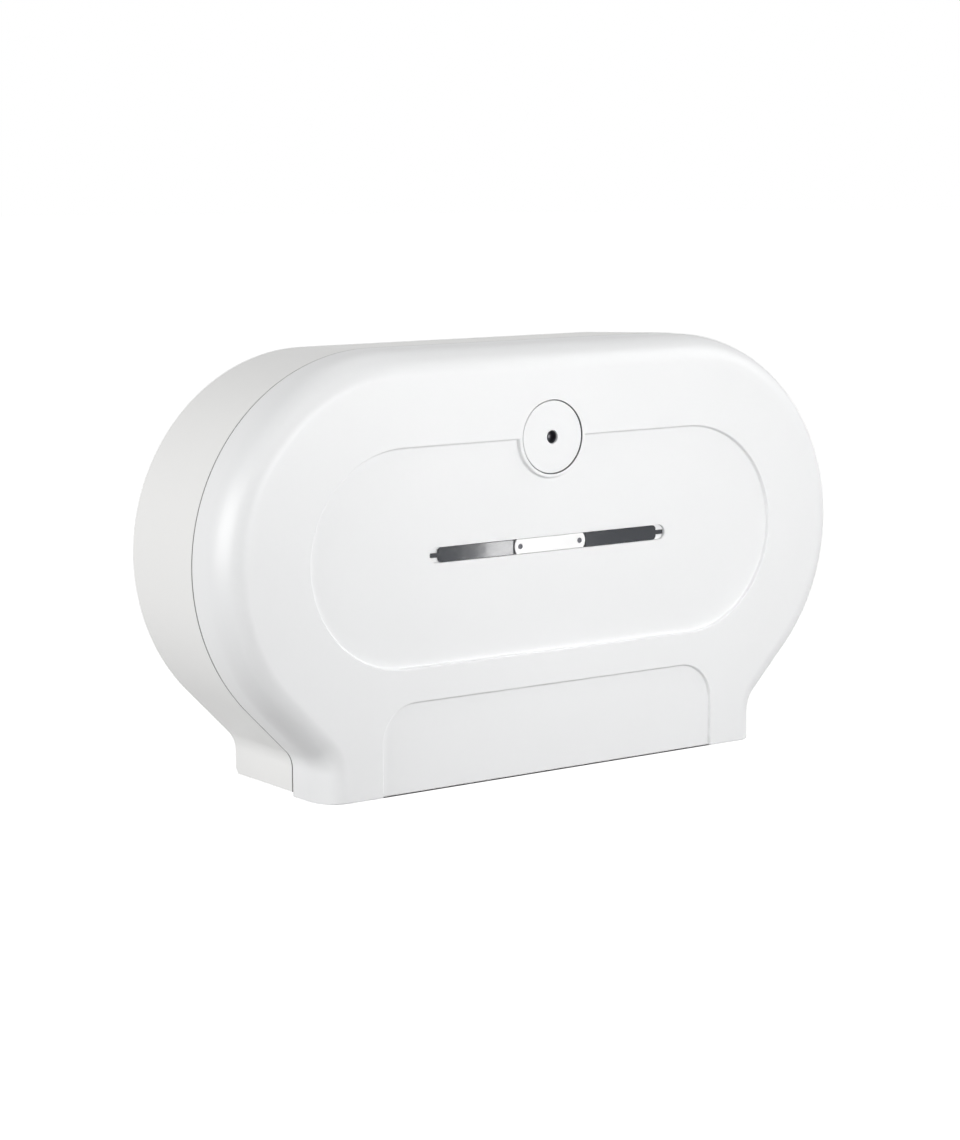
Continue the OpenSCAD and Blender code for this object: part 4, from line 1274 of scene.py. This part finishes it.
class DISPENSER_OT_studio(DispenserOperator):
    """Sets up the floor, the soft lights and the camera"""

    bl_idname = "dispenser.studio"
    bl_label = "Studio"

    def build(self):
        s = settings("studio")
        self.camera(s)
        self.floor(s)
        self.sky(s)
        wide, small = (1.6, 1.4), (0.5, 0.4)
        self.softbox("Left softbox", (-90, 13, 2.5), wide, s.left)
        self.softbox("Right softbox", (60, 30, 2.5), wide, s.right)
        self.softbox("High softbox", (30, 60, 2.5), wide, s.high)
        self.softbox("Top softbox", (0, 85, 2.5), wide, s.top)
        self.softbox("Back softbox", (150, 60, 2.5), wide, s.back)
        self.softbox("Near lamp", (0, 6, 0.9), small, s.near)
        self.softbox("Near right lamp", (20, 9, 1.2), small, s.near_right)
        self.softbox("Strip light", (34.7, -8, 2.5), (0.06, 1.4), s.strip).visible_diffuse = False
        bpy.context.scene.view_settings.view_transform = "Standard"

    def camera(self, s):
        back = direction(-s.azimuth, s.elevation)
        forward = -back
        right = forward.cross(Vector((0, 0, 1))).normalized()
        up = right.cross(forward)
        right, up = (
            right * math.cos(s.roll) + up * math.sin(s.roll),
            up * math.cos(s.roll) - right * math.sin(s.roll),
        )
        bpy.ops.object.camera_add()
        camera = bpy.context.object
        camera.name = "Camera"
        place = Matrix((right, up, back)).transposed().to_4x4()
        place.translation = Vector(s.target) + back * s.distance
        camera.matrix_world = place
        camera.data.lens = s.lens
        camera.data.sensor_width = 36
        camera.data.clip_start, camera.data.clip_end = 0.05, 50
        bpy.context.scene.camera = camera

    def floor(self, s):
        """A wide floor: white to the camera, with shadows near the object, and dim to what it lights."""
        bpy.ops.object.select_all(action="DESELECT")
        bpy.ops.mesh.primitive_plane_add(size=400, location=(0, 0, s.floor_z))
        floor = settle(bpy.context.object)
        floor.name = "floor"
        material = bpy.data.materials.new("Pale floor")
        material.use_nodes = True
        tree = material.node_tree
        tree.nodes.clear()
        away = distance(tree, object_place(tree))
        glow = node(
            tree, "ShaderNodeMapRange",
            {"Value": away, "From Min": 1.2, "From Max": 2.6, "To Min": 0.7, "To Max": 1.0},
        )
        matt = node(tree, "ShaderNodeBsdfDiffuse", {"Color": (0.86, 0.86, 0.86, 1)})
        light = node(tree, "ShaderNodeEmission", {"Color": (1, 1, 1, 1), "Strength": glow.outputs[0]})
        lit = node(tree, "ShaderNodeAddShader", {0: matt.outputs[0], 1: light.outputs[0]})
        dim = node(tree, "ShaderNodeBsdfDiffuse", {"Color": (0.25, 0.25, 0.25, 1)})
        show(tree, "ShaderNodeOutputMaterial", dim.outputs[0], lit.outputs[0])
        floor.data.materials.append(material)

    def sky(self, s):
        world = bpy.data.worlds.new("Studio")
        world.use_nodes = True
        tree = world.node_tree
        tree.nodes.clear()
        even = node(tree, "ShaderNodeBackground", {"Color": (1, 1, 1, 1), "Strength": s.world})
        white = node(tree, "ShaderNodeBackground", {"Color": (1, 1, 1, 1), "Strength": 1.0})
        show(tree, "ShaderNodeOutputWorld", even.outputs[0], white.outputs[0])
        bpy.context.scene.world = world

    def softbox(self, name, place, size, power):
        """A lamp aimed at the object from an azimuth, an elevation and a distance."""
        azimuth, elevation, away = place
        back = direction(math.radians(azimuth), math.radians(elevation))
        bpy.ops.object.light_add(type="AREA", location=AIM + back * away)
        lamp = bpy.context.object
        lamp.name = name
        lamp.data.shape = "RECTANGLE"
        lamp.data.size, lamp.data.size_y = size
        lamp.data.energy = power
        lamp.rotation_euler = (-back).to_track_quat("-Z", "Y").to_euler()
        return lamp


def seen_directly(tree):
    """One where the camera, a reflection or glass sees the background."""
    path = node(tree, "ShaderNodeLightPath").outputs
    either = maths(tree, "MAXIMUM", path["Is Camera Ray"], path["Is Glossy Ray"])
    return maths(tree, "MAXIMUM", either, path["Is Transmission Ray"])


def show(tree, kind, otherwise, direct):
    """Ends a tree with one shader for what is seen directly and another for all else."""
    mix = node(tree, "ShaderNodeMixShader", {0: seen_directly(tree), 1: otherwise, 2: direct})
    tree.links.new(mix.outputs[0], node(tree, kind).inputs["Surface"])


def direction(azimuth, elevation):
    """Points to an azimuth, counted to the right from the front, and an elevation."""
    level = math.cos(elevation)
    return Vector((math.sin(azimuth) * level, -math.cos(azimuth) * level, math.sin(elevation)))


class DISPENSER_OT_inside(DispenserOperator):
    """Rounds the edges of the carried-over solids and gives them their finishes"""

    bl_idname = "dispenser.inside"
    bl_label = "Lock, hubs and outlet"

    def build(self):
        f = finishes()
        kinds = [
            ("inner", "inner_white", 0.0005, ["latch_post", "axle_left", "axle_right", "outlet_frame"]),
            ("hub", "hub_grey", 0.0004, ["roll_hub_left", "roll_hub_right"]),
            ("zinc", "zinc", 0.0002, ["lock_housing", "lock_nut", "lock_cam"]),
            ("dark_steel", "steel", 0.00015, ["bridge_screws", "key_pin", "lock_plug"]),
            ("steel", "steel", 0.00015, [
                "hinge_pin_left", "hinge_pin_right", "cam_screw", "latch_screws", "axle_screws",
                "axle_washers", "axle_end_screws", "outlet_screws", "brake_spring_left", "brake_spring_right",
            ]),
            ("blade", "steel", 0.00015, ["tear_blade_left", "tear_blade_centre", "tear_blade_right"]),
        ]
        for finish, slot, radius, names in kinds:
            for name in names:
                soften(name, f[finish], slot, radius)


class DISPENSER_PT_panel(Panel):
    """Lists the pieces and the stage"""

    bl_label = "Dispenser"
    bl_space_type = "VIEW_3D"
    bl_region_type = "UI"
    bl_category = "Dispenser"

    def draw(self, context):
        for step in STEPS:
            self.layout.operator(step.bl_idname)
        for name in SETTINGS:
            box = self.layout.box()
            group = getattr(context.scene, name)
            for key in group.__annotations__:
                box.prop(group, key)


STEPS = (
    DISPENSER_OT_casing, DISPENSER_OT_cover, DISPENSER_OT_lock_disc, DISPENSER_OT_windows,
    DISPENSER_OT_inside, DISPENSER_OT_studio,
)
CLASSES = (*SETTINGS.values(), *STEPS, DISPENSER_PT_panel)


def register():
    for cls in CLASSES:
        bpy.utils.register_class(cls)
    for name, kind in SETTINGS.items():
        setattr(bpy.types.Scene, name, PointerProperty(type=kind))


def unregister():
    for name in SETTINGS:
        delattr(bpy.types.Scene, name)
    for cls in reversed(CLASSES):
        bpy.utils.unregister_class(cls)


def main():
    register()
    for step in STEPS:
        group, name = step.bl_idname.split(".")
        getattr(getattr(bpy.ops, group), name)()


if __name__ == "__main__":
    main()
